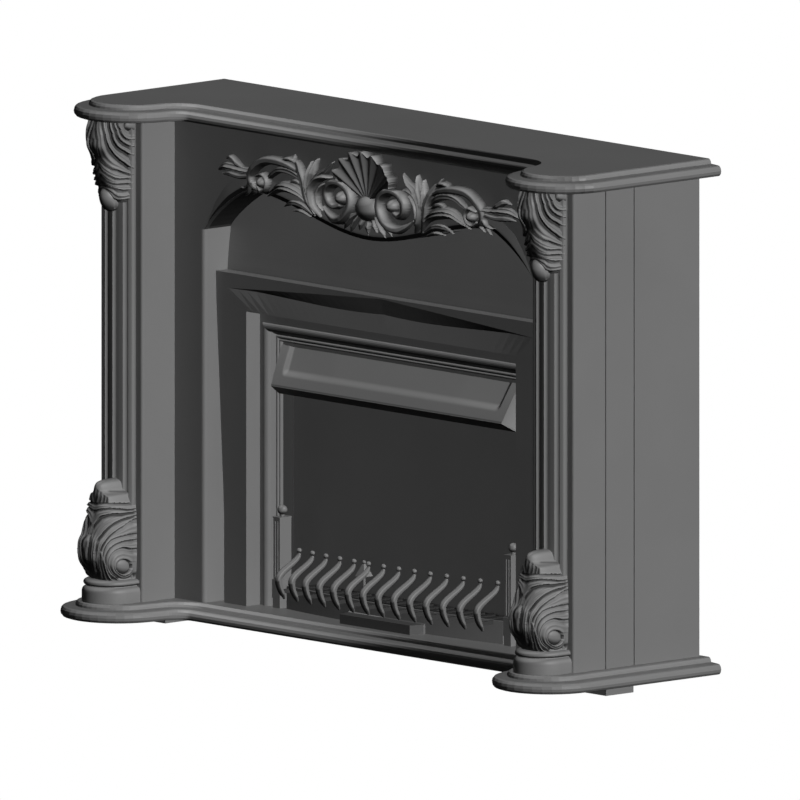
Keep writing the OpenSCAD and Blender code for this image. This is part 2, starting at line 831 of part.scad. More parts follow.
// Acanthus branch to the right of the shell: curved arms, leaves, an eye and the tail
module branch_outline(share) {
    leaf([116, 26], [172, 10], [136, -54], [3, 13, 4], share);
    leaf([158, -25], [160, 30], [138, 60], [5, 14, 1], share);
    leaf([150, 12], [135, 38], [104, 54], [6, 9, 1], share);
    leaf([157, -36], [172, 10], [199, 45], [8, 8, 5], share);
    leaf([193, 39], [262, 64], [332, 3], [7, 12, 9], share);
    leaf([204, 42], [224, 62], [248, 55], [3, 7, 2], share);
    leaf([186, 12], [250, 46], [293, 6], [4, 10, 1], share);
    leaf([163, -30], [215, 6], [287, -23], [4, 14, 1], share);
    leaf([322, 8], [374, -6], [438, -3], [8, 9, 2], share);
    leaf([370, 2], [412, 28], [440, -6], [3, 6, 2], share);
    leaf([333, 3], [341, -16], [371, -21], [5, 5, 1], share);
    translate([304, -12]) circle(r = 12 * share);
}

module scroll_left() {
    color(iron_light) carved() {
        mirror([1, 0]) scale([(half_open - carving_end_in) / 440, 1]) branch_outline(1);
        mirror([1, 0]) scale([(half_open - carving_end_in) / 440, 1]) branch_outline(0.55);
    }
}

module scroll_right() {
    opposite() scroll_left();
}

// ---------- register plate and trim ----------

register_z = trim_top_z - register_lap;
register_h = peak_z + register_over - register_z;
register_front_d = trim_back_d - 2;

// Side view of the leaning register plate, or of all that lies behind its face
function register_profile(back) =
    let (face = [for (i = [0:8])
                    let (t = i / 8)
                    [-(register_front_d - register_lean * pow(t, 1.3)), register_z + register_h * t]])
    concat(face, [for (i = [8:-1:0]) [face[i][0] + (back < 0 ? -back : register_t), face[i][1]]]);

module register_plate() {
    color(iron) along_x(-half_open, half_open) polygon(register_profile(0));
}

// Wedge that mitres the head of the trim against a stile
module mitre_wedge() {
    stile = half_open - half_trim;
    along_y(0, jamb_d + 20)
        polygon([[-half_open, trim_top_z],
            [-half_trim + 40, trim_in_z - 40 * trim_head_h / stile],
            [-half_trim + 40, -1], [-body_w, -1], [-body_w, trim_top_z + 40]]);
}

// The triangles tris over the first ring of a skin, and over its last, which starts at top
function end_caps(tris, top) = concat(tris, [for (t = tris) [top + t[0], top + t[2], top + t[1]]]);

// Head of the trim, mitred at both ends: its flat band narrows and its crease widens to the middle
module trim_head() {
    steps = 36;
    stile = half_open - half_trim;
    points = [for (k = [0:steps])
        let (s = 2 * k / steps - 1,
             u = 1 - s * s,
             hollow = (trim_hollow + trim_hollow_more * u) * min(1, 3 * u),
             band_z = trim_top_z - trim_edge - trim_band * abs(s),
             crease_z = band_z - 1 - (trim_band + trim_edge) * pow(u, 1.8))
        for (p = [[trim_back_d, trim_top_z], [trim_front_d, trim_top_z], [trim_front_d, band_z],
                  [trim_front_d - hollow, crease_z], [trim_front_d, trim_in_z],
                  [firebox_front_d - 2, trim_in_z]])
            [s * (half_open - stile * (trim_top_z - p[1]) / trim_head_h), yd(p[0]), p[1]]];
    color(iron) polyhedron(points,
        concat(end_caps([[0, 1, 2], [0, 2, 3], [0, 3, 5], [3, 4, 5]], 6 * steps),
            skin_faces(steps + 1, 6)), convexity = 4);
}

// Stile of the trim: a bevel on its outer edge grows downwards
module trim_stile_left() {
    steps = 12;
    points = [for (k = [0:steps])
        let (z = floor_z + (trim_top_z - floor_z) * k / steps,
             t = min(1, max(0.02, (1 - k / steps) / 0.7 - 0.04)))
        for (p = [[half_open, firebox_front_d - 2], [half_open, trim_front_d - stile_turn * t],
                  [half_open - stile_bevel * t, trim_front_d], [half_trim, trim_front_d],
                  [half_trim, firebox_front_d - 2]])
            [-p[0], yd(p[1]), z]];
    color(iron) difference() {
        intersection() {
            polyhedron(points, concat(end_caps([[0, 1, 2], [0, 2, 4], [2, 3, 4]], 5 * steps),
                skin_faces(steps + 1, 5)), convexity = 4);
            mitre_wedge();
        }
        block(-half_open - 1, -half_trim + 1, 0, trim_back_d, register_z, trim_top_z + 1);
    }
}

module trim_stile_right() {
    opposite() trim_stile_left();
}

// ---------- firebox ----------

// Section of the frame from the trim inwards: a flat, a large round bead and two small ones.
// Each point is [distance from the trim's inner edge, depth]
function frame_section(flat) = concat(
    [[0, frame_back_d], [0, firebox_front_d]],
    round_bead(flat + bead_r, firebox_front_d - 6, bead_r, 143),
    round_bead(flat + 2 * bead_r + 9.5, firebox_front_d - 16, 3.5, 180),
    round_bead(flat + 2 * bead_r + 16.5, firebox_front_d - 17, 2.5, 180),
    [[flat + bead_run, frame_back_d]]);

// Front of a bead, from the angle start round to its far side
function round_bead(centre, d, r, start) =
    [for (i = [8:-1:0]) [centre + r * cos(start * i / 8), d + r * sin(start * i / 8)]];

// What lies above or below the mitre of the frame's left corner, seen from the front
module frame_mitre(above) {
    z = trim_in_z - frame_flat_head + frame_flat_side;
    end_z = trim_in_z - frame_head_h - 1;
    along_y(0, front_d) polygon([[-half_trim - 1, z + 1], [-frame_in_half + 1, end_z],
        [above ? -frame_in_half + 1 : -half_trim - 1, above ? trim_in_z + 1 : end_z],
        [-half_trim - 1, above ? trim_in_z + 1 : z]]);
}

module frame_side() {
    difference() {
        along_z(floor_z, trim_in_z)
            polygon([for (p = frame_section(frame_flat_side)) [-half_trim + p[0], -p[1]]]);
        frame_mitre(true);
    }
}

// Cast frame round the mouth of the firebox, mitred at its two top corners
module firebox_frame() {
    color(iron_light) {
        frame_side();
        opposite() frame_side();
        difference() {
            along_x(-half_trim, half_trim)
                polygon([for (p = frame_section(frame_flat_head)) [-p[1], trim_in_z - p[0]]]);
            frame_mitre(false);
            opposite() frame_mitre(false);
        }
    }
}

module cheek_left() {
    color(iron) block(-half_fire - cheek_t, -half_fire, throat_back_d, frame_back_d,
        floor_z, fire_top_z);
}

module cheek_right() {
    opposite() cheek_left();
}

module fireback() {
    color(iron) block(-half_fire, half_fire, throat_back_d, fireback_d, floor_z, fire_top_z);
}

// Outer or inner skin of the canopy, drawn in by inset
module canopy_skin(inset) {
    lip_z = floor_z + canopy_lip_z;
    hull() {
        block(-canopy_end_half + inset, canopy_end_half - inset,
            canopy_top_d - 6 - inset, canopy_top_d - inset,
            floor_z + canopy_top_z - 1 - inset, floor_z + canopy_top_z - inset);
        block(-canopy_lip_half + inset, canopy_lip_half - inset,
            canopy_lip_d - 1.5 * (1 + inset), canopy_lip_d - 1.5 * inset, lip_z, lip_z + 1);
        block(-canopy_end_half + inset, canopy_end_half - inset,
            canopy_top_d - 6 - inset, canopy_lip_d - canopy_return_in - inset,
            lip_z - canopy_return + inset, lip_z - canopy_return + 1 + inset);
    }
}

// Raised panel on the canopy's slope
module raised_panel() {
    run = [canopy_lip_d - canopy_top_d, canopy_lip_z - canopy_top_z];
    sunk = -2;
    hull() for (t = [0.19, 0.78])
        let (half = canopy_end_half - canopy_lip_in * t - 6)
            along_x(-half, half) polygon([
                for (q = [[0, sunk], [0, canopy_panel], [2, canopy_panel], [2, sunk]])
                    [-(canopy_top_d + run[0] * t + (q[0] * run[0] - q[1] * run[1]) / norm(run)),
                     floor_z + canopy_top_z + run[1] * t + (q[0] * run[1] + q[1] * run[0]) / norm(run)]]);
}

// Canopy: a hollow hood, open underneath and at the back, that leads the smoke to the throat
module canopy() {
    return_d = canopy_lip_d - canopy_return_in;
    color(iron_light) difference() {
        union() {
            canopy_skin(0);
            raised_panel();
        }
        canopy_skin(canopy_t);
        block(-canopy_end_half - 1, canopy_end_half + 1, 0, canopy_top_d - 5,
            floor_z, fire_top_z);
        block(-canopy_end_half + canopy_t, canopy_end_half - canopy_t,
            0, return_d - canopy_t, floor_z, floor_z + canopy_lip_z - canopy_return + 6);
    }
}

// Lugs on the frame that carry the canopy's ends, as long as its top edge stands forward
module canopy_lugs() {
    front_d = max(canopy_top_d, frame_back_d + canopy_lug_t);
    return_z = floor_z + canopy_lip_z - canopy_return;
    color(iron) for (side = [-1, 1])
        block(side > 0 ? canopy_end_half : -frame_in_half, side > 0 ? frame_in_half : -canopy_end_half,
            frame_back_d, front_d, return_z + canopy_lug_rise, return_z + canopy_lug_top);
}

// ---------- posts ----------

// Fire post: two-tier foot, grooved shaft and a small cap
module post_left() {
    x0 = -post_x - post_w / 2;
    x1 = -post_x + post_w / 2;
    color(iron_light) {
        block(x0 - 1, x1 + 1, post_front_d - post_deep, post_front_d + 1, floor_z, floor_z + 19);
        block(x0 - post_foot, x1 + post_foot, post_front_d - post_deep, post_front_d + 2,
            floor_z + 19, floor_z + 57);
        difference() {
            block(x0, x1, post_front_d - post_deep, post_front_d, floor_z + 57, floor_z + post_h);
            for (x = [-1, 1])
                block(-post_x + x * post_w / 5 - 1, -post_x + x * post_w / 5 + 1,
                    post_front_d - 2, post_front_d + 1, floor_z + 60, floor_z + post_h - 6);
        }
        block(x0 - 1, x1 + 1, post_front_d - post_deep, post_front_d + 1,
            floor_z + post_h, floor_z + post_h + 3);
    }
}

module post_right() {
    opposite() post_left();
}

module post_balls() {
    color(iron_light) for (side = [-1, 1])
        translate([side * post_x, yd(post_front_d - post_deep / 2), floor_z + post_h + 3]) {
            cylinder(r = post_ball_r * 0.45, h = post_ball_r * 0.7);
            translate([0, 0, post_ball_r * 1.3]) sphere(r = post_ball_r);
        }
}

// ---------- fret ----------

// Depth of the apron's front at x, on its bow
function apron_front(x) = apron_d + sqrt(apron_radius * apron_radius - x * x)
    - (apron_radius - fret_bow);

function bar_x(i) = (i - (bar_count - 1) / 2) * bar_pitch;

// Strip that follows the fret's bow, behind the apron's front
module apron_strip(h) {
    along_z(floor_z, floor_z + h)
        polygon(concat(
            [for (k = [-16:16]) [apron_half * k / 16, -apron_front(apron_half * k / 16)]],
            [for (k = [16:-1:-16])
                [apron_half * k / 16, -apron_front(apron_half * k / 16) + apron_t]]));
}

// Bow-fronted apron, with a gateway for the ash pan
module fret_apron() {
    color(iron_light) difference() {
        apron_strip(apron_h);
        block(-pan_half - slide_gap, pan_half + slide_gap, 0, front_d,
            floor_z - 1, floor_z + pan_h + slide_gap);
    }
}

lug_reach = waist_reach * 0.8;
lug_h = 8;

// Side view of an S-shaped bar: [reach in front of the apron, height] along its middle line
function bar_reach(t) = t < 0.5
    ? waist_reach * (0.62 + 0.38 * sin(180 * t))
    : -14 + (waist_reach + 14) * (0.5 - 0.5 * cos(360 * t));
function bar_height(t) = t < 0.5
    ? bar_tip_z + (bar_waist_z - bar_tip_z) * 2 * t
    : bar_waist_z + (ball_z - ball_r - bar_waist_z) * (2 * t - 1);
function bar_half(t) = bar_t / 2 * (0.2 + 0.8 * pow(sin(180 * min(1, 0.06 + t * 0.86)), 0.8));

function bar_side(sign, steps) = [for (i = [0:steps])
    let (t = i / steps,
         e = 0.02,
         run = bar_reach(min(1, t + e)) - bar_reach(max(0, t - e)),
         rise = bar_height(min(1, t + e)) - bar_height(max(0, t - e)),
         n = sqrt(run * run + rise * rise))
    [bar_reach(t) + sign * bar_half(t) * rise / n, bar_height(t) - sign * bar_half(t) * run / n]];

module fret_bars() {
    steps = 14;
    front = bar_side(1, steps);
    rear = bar_side(-1, steps);
    outline = concat(front, [for (i = [steps:-1:0]) rear[i]]);
    color(iron_light) for (i = [0:bar_count - 1])
        difference() {
            union() {
                along_x(bar_x(i) - bar_w / 2, bar_x(i) + bar_w / 2)
                    translate([-apron_front(bar_x(i)), floor_z])
                        polygon([for (p = outline) [-p[0], p[1]]]);
                block(bar_x(i) - bar_w / 4, bar_x(i) + bar_w / 4,
                    apron_front(bar_x(i)) - apron_t / 2, apron_front(bar_x(i)) + lug_reach,
                    floor_z + apron_h - lug_h, floor_z + apron_h);
            }
            apron_strip(apron_h + 1);
        }
}

module fret_balls() {
    color(iron_light) for (i = [0:bar_count - 1])
        translate([bar_x(i), yd(apron_front(bar_x(i)) - 14), floor_z + ball_z])
            sphere(r = ball_r, $fn = 24);
}

// ---------- grate and ash pan ----------

bearer_x = grate_half - bearer_w;

module grate_bearers() {
    color(iron) for (side = [-1, 1])
        block(side * bearer_x - bearer_w / 2, side * bearer_x + bearer_w / 2,
            fireback_d, grate_front_d, floor_z, grate_z);
}

// Slotted grate, which slides from side to side on its bearers
module grate() {
    pitch = 2 * (grate_half - 12) / grate_slots;
    color(iron) difference() {
        block(-grate_half, grate_half, grate_back_d, grate_front_d, grate_z, grate_z + grate_t);
        for (i = [0:grate_slots - 1])
            let (x = -grate_half + 12 + pitch * (i + 0.5))
                block(x - slot_w / 2, x + slot_w / 2, grate_back_d + 7, grate_front_d - 7,
                    grate_z - 1, grate_z + grate_t + 1);
    }
}

// Riddling handle: a rod with a pyramid and a small ball
module riddling_knob() {
    foot_z = grate_z + grate_t;
    tip_z = floor_z + knob_z;
    color(iron_light) translate([-knob_x, yd(grate_front_d - 3.5), 0]) {
        translate([0, 0, foot_z]) cylinder(r = 3, h = tip_z - 30 - foot_z);
        translate([0, 0, tip_z - 32]) rotate([0, 0, 45]) cylinder(r1 = 18, r2 = 2.5, h = 26, $fn = 4);
        translate([0, 0, tip_z - 4]) sphere(r = 4, $fn = 24);
    }
}

pan_back_d = fireback_d + 8;
pan_front_d = apron_d + fret_bow;

module ash_pan() {
    color(steel) difference() {
        block(-pan_half, pan_half, pan_back_d, pan_front_d, floor_z, floor_z + pan_h);
        block(-pan_half + pan_t, pan_half - pan_t, pan_back_d + pan_t, pan_front_d - pan_t,
            floor_z + pan_t, floor_z + pan_h + 1);
    }
}

// Projecting front of the ash pan, with a finger hollow underneath
module ash_pan_front() {
    color(iron_light) difference() {
        along_z(floor_z, floor_z + pan_h)
            polygon([[-pan_half, -pan_front_d], [-pan_half + 8, -pan_front_d - pan_proj],
                [pan_half - 8, -pan_front_d - pan_proj], [pan_half, -pan_front_d]]);
        block(-pan_half + 20, pan_half - 20, pan_front_d + 5, pan_front_d + pan_proj - 5,
            floor_z - 1, floor_z + pan_h - 4);
    }
}

// ---------- throat, damper and flue ----------

// Sheet box over the firebox, open at the throat, with the flue hole at its back
module smoke_box() {
    color(steel) difference() {
        block(-smoke_half, smoke_half, smoke_back_d, smoke_front_d, fire_top_z, smoke_top_z);
        block(-smoke_half + smoke_t, smoke_half - smoke_t, smoke_back_d + smoke_t,
            smoke_front_d - smoke_t, fire_top_z + smoke_t, smoke_top_z - smoke_t);
        block(-smoke_half + 20, smoke_half - 20, fireback_d, smoke_front_d - smoke_t - 6,
            fire_top_z - 1, fire_top_z + smoke_t + 1);
        translate([0, yd(0), flue_axis_z]) rotate([90, 0, 0])
            cylinder(r = flue_r, h = smoke_back_d + smoke_t + 1, $fn = 96);
    }
}

// Round spigot with a flange against the back of the smoke box
module flue_spigot() {
    flange = 12;
    color(steel) translate([0, yd(-flue_out), flue_axis_z]) rotate([90, 0, 0]) difference() {
        union() {
            cylinder(r = flue_r + flue_wall, h = flue_out + smoke_back_d, $fn = 96);
            translate([0, 0, flue_out + smoke_back_d - 4])
                cylinder(r = flue_r + flange, h = 4, $fn = 96);
        }
        translate([0, 0, -1]) cylinder(r = flue_r, h = flue_out + smoke_back_d + 2, $fn = 96);
    }
}

flap_half = smoke_half - 16;
lug_t = 6;
lug_x = flap_half + side_play;

// Lugs that carry the damper's spindle
module damper_lugs() {
    color(steel) for (side = [-1, 1])
        difference() {
            block(side > 0 ? lug_x : -lug_x - lug_t, side > 0 ? lug_x + lug_t : -lug_x,
                spindle_d - 9, spindle_d + 9, fire_top_z + smoke_t, spindle_z + 9);
            translate([0, yd(spindle_d), spindle_z]) rotate([0, 90, 0])
                cylinder(r = spindle_r + spindle_gap, h = 2 * body_w, center = true);
        }
}

// Flap that lies over the throat and turns up on its spindle
module damper_flap() {
    flap_z = fire_top_z + smoke_t + 0.3;
    color(iron) difference() {
        union() {
            block(-flap_half, flap_half, spindle_d, smoke_front_d - smoke_t - 3, flap_z, flap_z + flap_t);
            for (x = [-1, 0, 1])
                translate([x * (flap_half - 20), yd(spindle_d), spindle_z]) rotate([0, 90, 0])
                    cylinder(r = spindle_r + 4, h = 40, center = true);
        }
        translate([0, yd(spindle_d), spindle_z]) rotate([0, 90, 0])
            cylinder(r = spindle_r, h = 2 * body_w, center = true);
    }
}

module damper_spindle() {
    color(steel) translate([0, yd(spindle_d), spindle_z]) rotate([0, 90, 0])
        cylinder(r = spindle_r, h = 2 * (lug_x + lug_t), center = true);
}

// Bolts that hold the casing's side panels to the jambs, inside the carcase
module casing_bolts() {
    color(steel) for (side = [-1, 1])
        for (z = [floor_z + 80, floor_z + column_h / 2, shelf_z - 80])
            translate([side * (half_w - wall), yd(casing_d - 30), z]) rotate([0, -side * 90, 0])
                cylinder(r = bolt_r, h = 6, $fn = 6);
}

base_moulding();
feet_front();
feet_rear();
mantel_shelf();
jamb_left();
jamb_right();
frieze();
arch_soffit();
side_panel_left();
side_panel_right();
back_panel();
pilaster_left();
pilaster_right();
shaft_left();
shaft_right();
upper_bracket_left();
upper_bracket_right();
lower_bracket_left();
lower_bracket_right();
pedestal_left();
pedestal_right();
shell_crest();
crest_scrolls();
scroll_left();
scroll_right();
register_plate();
trim_head();
trim_stile_left();
trim_stile_right();
firebox_frame();
cheek_left();
cheek_right();
fireback();
canopy();
canopy_lugs();
post_left();
post_right();
post_balls();
fret_apron();
fret_bars();
fret_balls();
grate_bearers();
grate();
riddling_knob();
ash_pan();
ash_pan_front();
smoke_box();
flue_spigot();
damper_lugs();
damper_flap();
damper_spindle();
casing_bolts();
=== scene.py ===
import json
import math
import bpy
import numpy as np
from mathutils import Matrix, Vector


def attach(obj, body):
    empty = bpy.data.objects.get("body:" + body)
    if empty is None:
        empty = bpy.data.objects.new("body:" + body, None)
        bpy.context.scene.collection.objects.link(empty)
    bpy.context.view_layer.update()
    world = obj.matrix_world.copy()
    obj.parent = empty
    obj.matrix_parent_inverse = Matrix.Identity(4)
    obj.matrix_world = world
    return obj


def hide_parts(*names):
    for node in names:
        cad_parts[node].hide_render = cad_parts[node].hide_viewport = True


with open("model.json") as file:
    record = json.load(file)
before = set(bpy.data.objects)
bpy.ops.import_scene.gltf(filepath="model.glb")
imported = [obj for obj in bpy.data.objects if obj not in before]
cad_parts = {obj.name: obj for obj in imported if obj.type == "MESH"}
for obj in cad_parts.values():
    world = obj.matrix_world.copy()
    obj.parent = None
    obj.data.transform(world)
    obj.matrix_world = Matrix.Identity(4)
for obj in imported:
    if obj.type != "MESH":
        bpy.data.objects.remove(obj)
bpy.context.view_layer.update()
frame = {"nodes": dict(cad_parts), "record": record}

NODES = frame["nodes"]
SLOTS = {part["node"]: part["material_slot"] for part in frame["record"]["subparts"]}

# Sizes are millimetres: x to the right, d from the casing's back to the room, z from the floor.
# Materials, lights and the camera use Blender's metres and axes.
BACK_Y = 227.0  # y of the casing's back
FLOOR_Z = 55.0  # top of the base moulding
SHELF_Z = 1030.0  # underside of the shelf
JAMB_D = 252.0  # front face of jambs and frieze
FRONT_D = 340.0  # front face of the pilasters
EAR_X = 642.0  # middle of a pilaster
SIDES = (("left", -1), ("right", 1))

# The camera that the photo was taken with, solved from its straight edges.
AZIMUTH = math.radians(47.77)
RIGHT = Vector((math.cos(AZIMUTH), math.sin(AZIMUTH), 0))
UP = Vector((-0.11054, 0.10036, 0.9888)).normalized()
BACK = RIGHT.cross(UP)
VIEW_CENTRE = Vector((0.0597, 0.003, 0.524))
VIEW_WIDTH, CAMERA_AWAY, CLIP_END = 1.6, 6, 60

# ---------- shader nodes ----------


def add_node(tree, kind, inputs=None, operation=None):
    """New shader node; inputs maps an input's name or number to its value or to the socket that feeds it."""
    made = tree.nodes.new("ShaderNode" + kind)
    if operation:
        made.operation = operation
    for key, value in (inputs or {}).items():
        if isinstance(value, bpy.types.NodeSocket):
            tree.links.new(value, made.inputs[key])
        else:
            made.inputs[key].default_value = value
    return made


def maths(tree, operation, a, b):
    """Result of a scalar operation on two values or sockets."""
    return add_node(tree, "Math", {0: a, 1: b}, operation).outputs[0]


def mapped(tree, value, source, target, clamp=True):
    """The value, carried from the range source over to the range target."""
    made = add_node(tree, "MapRange", {0: value, "From Min": source[0], "From Max": source[1],
                                       "To Min": target[0], "To Max": target[1]})
    made.clamp = clamp
    return made.outputs[0]


def part_along(tree, normal, direction):
    """How far the normal points along a direction."""
    return add_node(tree, "VectorMath", {0: normal, 1: direction}, "DOT_PRODUCT").outputs["Value"]


def empty_material(name):
    material = bpy.data.materials.new(name)
    material.use_nodes = True
    material.node_tree.nodes.clear()
    return material


# ---------- cast iron ----------

CLOUD_SCALE, CLOUD_DETAIL, TONE_SPREAD = 5.0, 4.0, 0.03
CLOUD_RANGE = (0.3, 0.7)  # noise values that give the darkest and the lightest tone
SAND_SCALE, SAND_DETAIL, SAND_DEPTH, ROUGH_SPREAD = 260.0, 3.0, 0.0004, 0.06
UNDER_RANGE = (-0.55, -0.12)  # upward part of the normal where the painted shade under things is fullest and where it ends
# Share of the tone left where the painted shading attribute is 1; values below 0 paint a highlight.
PAINTED_SHADE_TONE = 0.08
GLOSS = 0.3
FORWARD = (0.0, -1.0, 0.0)
# Painted highlights: directions of faces made lighter (up and forward, and towards the key light), each with
# the part of the normal where its gain starts and its gain.
PAINTED_HIGHLIGHTS = (((0.0, -0.62, 0.78), 0.8, 1.8), ((0.88, -0.14, 0.45), 0.89, 1.22))
EDGE_HALF = 0.47  # half length of the straight front edge between the ears
EDGE_RANGE = (-0.16, -0.11)  # y on the ears, where nothing is turned, and on the straight edge


def swung_normal(tree, facing, swing):
    """Normal of the straight front edge, turned to the light at its left end and away at its right end."""
    place = add_node(tree, "SeparateXYZ", {0: facing.outputs["Position"]}).outputs
    normal = facing.outputs["Normal"]
    amount = maths(tree, "MAXIMUM", part_along(tree, normal, FORWARD), 0.0)
    sideways = mapped(tree, place["X"], (-EDGE_HALF, EDGE_HALF), (swing, -swing))
    amount = maths(tree, "MULTIPLY", amount, sideways)
    amount = maths(tree, "MULTIPLY", amount, mapped(tree, place["Y"], EDGE_RANGE, (0.0, 1.0)))
    aside = add_node(tree, "CombineXYZ", {"X": amount}).outputs[0]
    turned = add_node(tree, "VectorMath", {0: normal, 1: aside}, "ADD").outputs[0]
    return add_node(tree, "VectorMath", {0: turned}, "NORMALIZE").outputs[0]


def cloudy_tone(tree, place, tone):
    """Grey that is a little darker and lighter in soft clouds."""
    cloud = add_node(tree, "TexNoise", {"Vector": place, "Scale": CLOUD_SCALE, "Detail": CLOUD_DETAIL})
    ramp = add_node(tree, "ValToRGB", {0: cloud.outputs[0]})
    shares = (1 - TONE_SPREAD, 1 + TONE_SPREAD)
    for end, position, share in zip(ramp.color_ramp.elements, CLOUD_RANGE, shares):
        end.position = position
        end.color = (tone * share, tone * share, tone * share, 1)
    return ramp.outputs[0]


def painted_shade_factor(tree, normal, under_tone):
    """Share of light left by painted shade: 1 on open faces, less on faces that look down and where the
    painted shading attribute is high.
    """
    up = add_node(tree, "SeparateXYZ", {0: normal}).outputs["Z"]
    painted_shading = add_node(tree, "Attribute")
    painted_shading.attribute_name = "painted_shading"
    open_part = mapped(tree, painted_shading.outputs["Fac"], (0.0, 1.0), (1.0, PAINTED_SHADE_TONE), clamp=False)
    return maths(tree, "MULTIPLY", mapped(tree, up, UNDER_RANGE, (under_tone, 1.0)), open_part)


def iron_material(name, tone, rough=0.5, grain=0.2, under_tone=0.1, darkest=0.27, swing=0.0):
    """Cast iron with a stove finish: sand grain and cloudy tone, with painted highlights on faces turned up
    and to the light, and painted shade below and in recesses.
    """
    material = empty_material(name)
    tree = material.node_tree
    place = add_node(tree, "TexCoord").outputs["Object"]
    facing = add_node(tree, "NewGeometry")
    unshaded_share = painted_shade_factor(tree, facing.outputs["Normal"], under_tone)
    level = maths(tree, "MAXIMUM", unshaded_share, darkest)
    # Painted highlights on faces turned to each of these directions.
    for direction, start, gain in PAINTED_HIGHLIGHTS:
        towards = part_along(tree, facing.outputs["Normal"], direction)
        level = maths(tree, "MULTIPLY", level, mapped(tree, towards, (start, 1.0), (1.0, gain)))
    tint = add_node(tree, "VectorMath", {0: cloudy_tone(tree, place, tone), "Scale": level}, "SCALE")
    noise = add_node(tree, "TexNoise", {"Vector": place, "Scale": SAND_SCALE, "Detail": SAND_DETAIL})
    sand = noise.outputs[0]
    bump = add_node(tree, "Bump", {"Height": sand, "Strength": grain, "Distance": SAND_DEPTH})
    if swing:
        tree.links.new(swung_normal(tree, facing, swing), bump.inputs["Normal"])
    bsdf = add_node(tree, "BsdfPrincipled", {
        "Base Color": tint.outputs[0], "Metallic": 0.0, "Normal": bump.outputs[0],
        "Roughness": mapped(tree, sand, (0.0, 1.0), (rough - ROUGH_SPREAD, rough + ROUGH_SPREAD)),
        "Specular IOR Level": maths(tree, "MULTIPLY", unshaded_share, GLOSS)})
    add_node(tree, "OutputMaterial", {0: bsdf.outputs[0]})
    return material


SURROUND_TONE = 0.205
MATERIALS = {
    "surround_iron": iron_material("surround_iron", SURROUND_TONE),
    "insert_iron": iron_material("insert_iron", tone=0.2),
    "sheet_steel": iron_material("sheet_steel", tone=0.16, grain=0.12),
    "plain_steel": iron_material("plain_steel", tone=0.3, rough=0.42, grain=0.1),
}
MOULDED = iron_material("moulded_iron", SURROUND_TONE, under_tone=0.85, swing=1.4)
# Painted shade: the cheeks, grate and grate bearers inside the firebox are near black.
SHADED_FIREBOX_IRON = iron_material("shaded_firebox_iron", tone=0.035, rough=0.6, grain=0.25)
# Painted shade under the arch and the frieze: faces that look down go nearly black.
SOFFIT = iron_material("soffit_iron", SURROUND_TONE, under_tone=0.02, darkest=0.12)
PAN_FRONT = iron_material("pan_iron", tone=0.09)
PLATE = iron_material("plate_iron", tone=0.235)
# Materials of single nodes, with painted shade under the arch and inside the firebox; all others have the
# material of their slot.
OWN_MATERIALS = {
    "mantel_shelf": MOULDED, "base_moulding": MOULDED, "arch_soffit": SOFFIT,
    "register_plate": PLATE, "ash_pan_front": PAN_FRONT,
    "cheek_left": SHADED_FIREBOX_IRON, "cheek_right": SHADED_FIREBOX_IRON, "grate": SHADED_FIREBOX_IRON, "grate_bearers": SHADED_FIREBOX_IRON,
}
CAD_SHARP = 28  # degrees from which the edges of CAD solids are shaded sharp
SHARP = {"mantel_shelf": 40, "base_moulding": 40}


def material_of(node):
    """Material of a CAD node: its own one, or else the one of its slot."""
    return OWN_MATERIALS.get(node, MATERIALS[SLOTS[node]])


for name, obj in NODES.items():
    obj.data.materials.clear()
    obj.data.materials.append(material_of(name))
    obj.data.shade_smooth()
    obj.data.set_sharp_from_angle(angle=math.radians(SHARP.get(name, CAD_SHARP)))

# ---------- mesh tools ----------

CURVE_STEPS, TABLE_SAMPLES = 12, 200


def piece(name, points, faces, node, body="surround", sharp=35, stands_for=True, painted_shading=None):
    """Mesh from millimetre points (x, d, z); it takes the material of a CAD node and stands for it."""
    p = np.asarray(points, dtype=float).reshape(-1, 3)
    verts = np.column_stack([p[:, 0], BACK_Y - p[:, 1], p[:, 2]]) / 1000
    mesh = bpy.data.meshes.new(name)
    mesh.from_pydata(verts.tolist(), [], faces)
    if painted_shading is not None:
        shade = mesh.attributes.new("painted_shading", "FLOAT", "POINT")
        shade.data.foreach_set("value", np.asarray(painted_shading, dtype=np.float32).ravel())
    mesh.validate()
    mesh.shade_smooth()
    mesh.set_sharp_from_angle(angle=math.radians(sharp))
    mesh.materials.append(material_of(node))
    obj = bpy.data.objects.new(name, mesh)
    bpy.context.scene.collection.objects.link(obj)
    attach(obj, body)
    if stands_for:
        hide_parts(node)
    return obj


def unit(value):
    """The value, held between 0 and 1."""
    return np.clip(value, 0, 1)


def bell(offset, width):
    """1 where the offset is 0, falling off smoothly to both sides."""
    return np.exp(-(offset / width) ** 2)


def blunted(value, power):
    """A sine or cosine with its power changed and its sign kept."""
    return np.sign(value) * np.abs(value) ** power


def skin(rows, cols, flip=False, start=0):
    """Quads between closed rings of points, with a cap over the first and the last ring."""
    faces = []
    for i in range(rows - 1):
        for j in range(cols):
            a = start + i * cols + j
            b = start + i * cols + (j + 1) % cols
            faces.append((a, b, b + cols, a + cols))
    faces.append(tuple(start + j for j in range(cols - 1, -1, -1)))
    faces.append(tuple(start + (rows - 1) * cols + j for j in range(cols)))
    return [f[::-1] for f in faces] if flip else faces


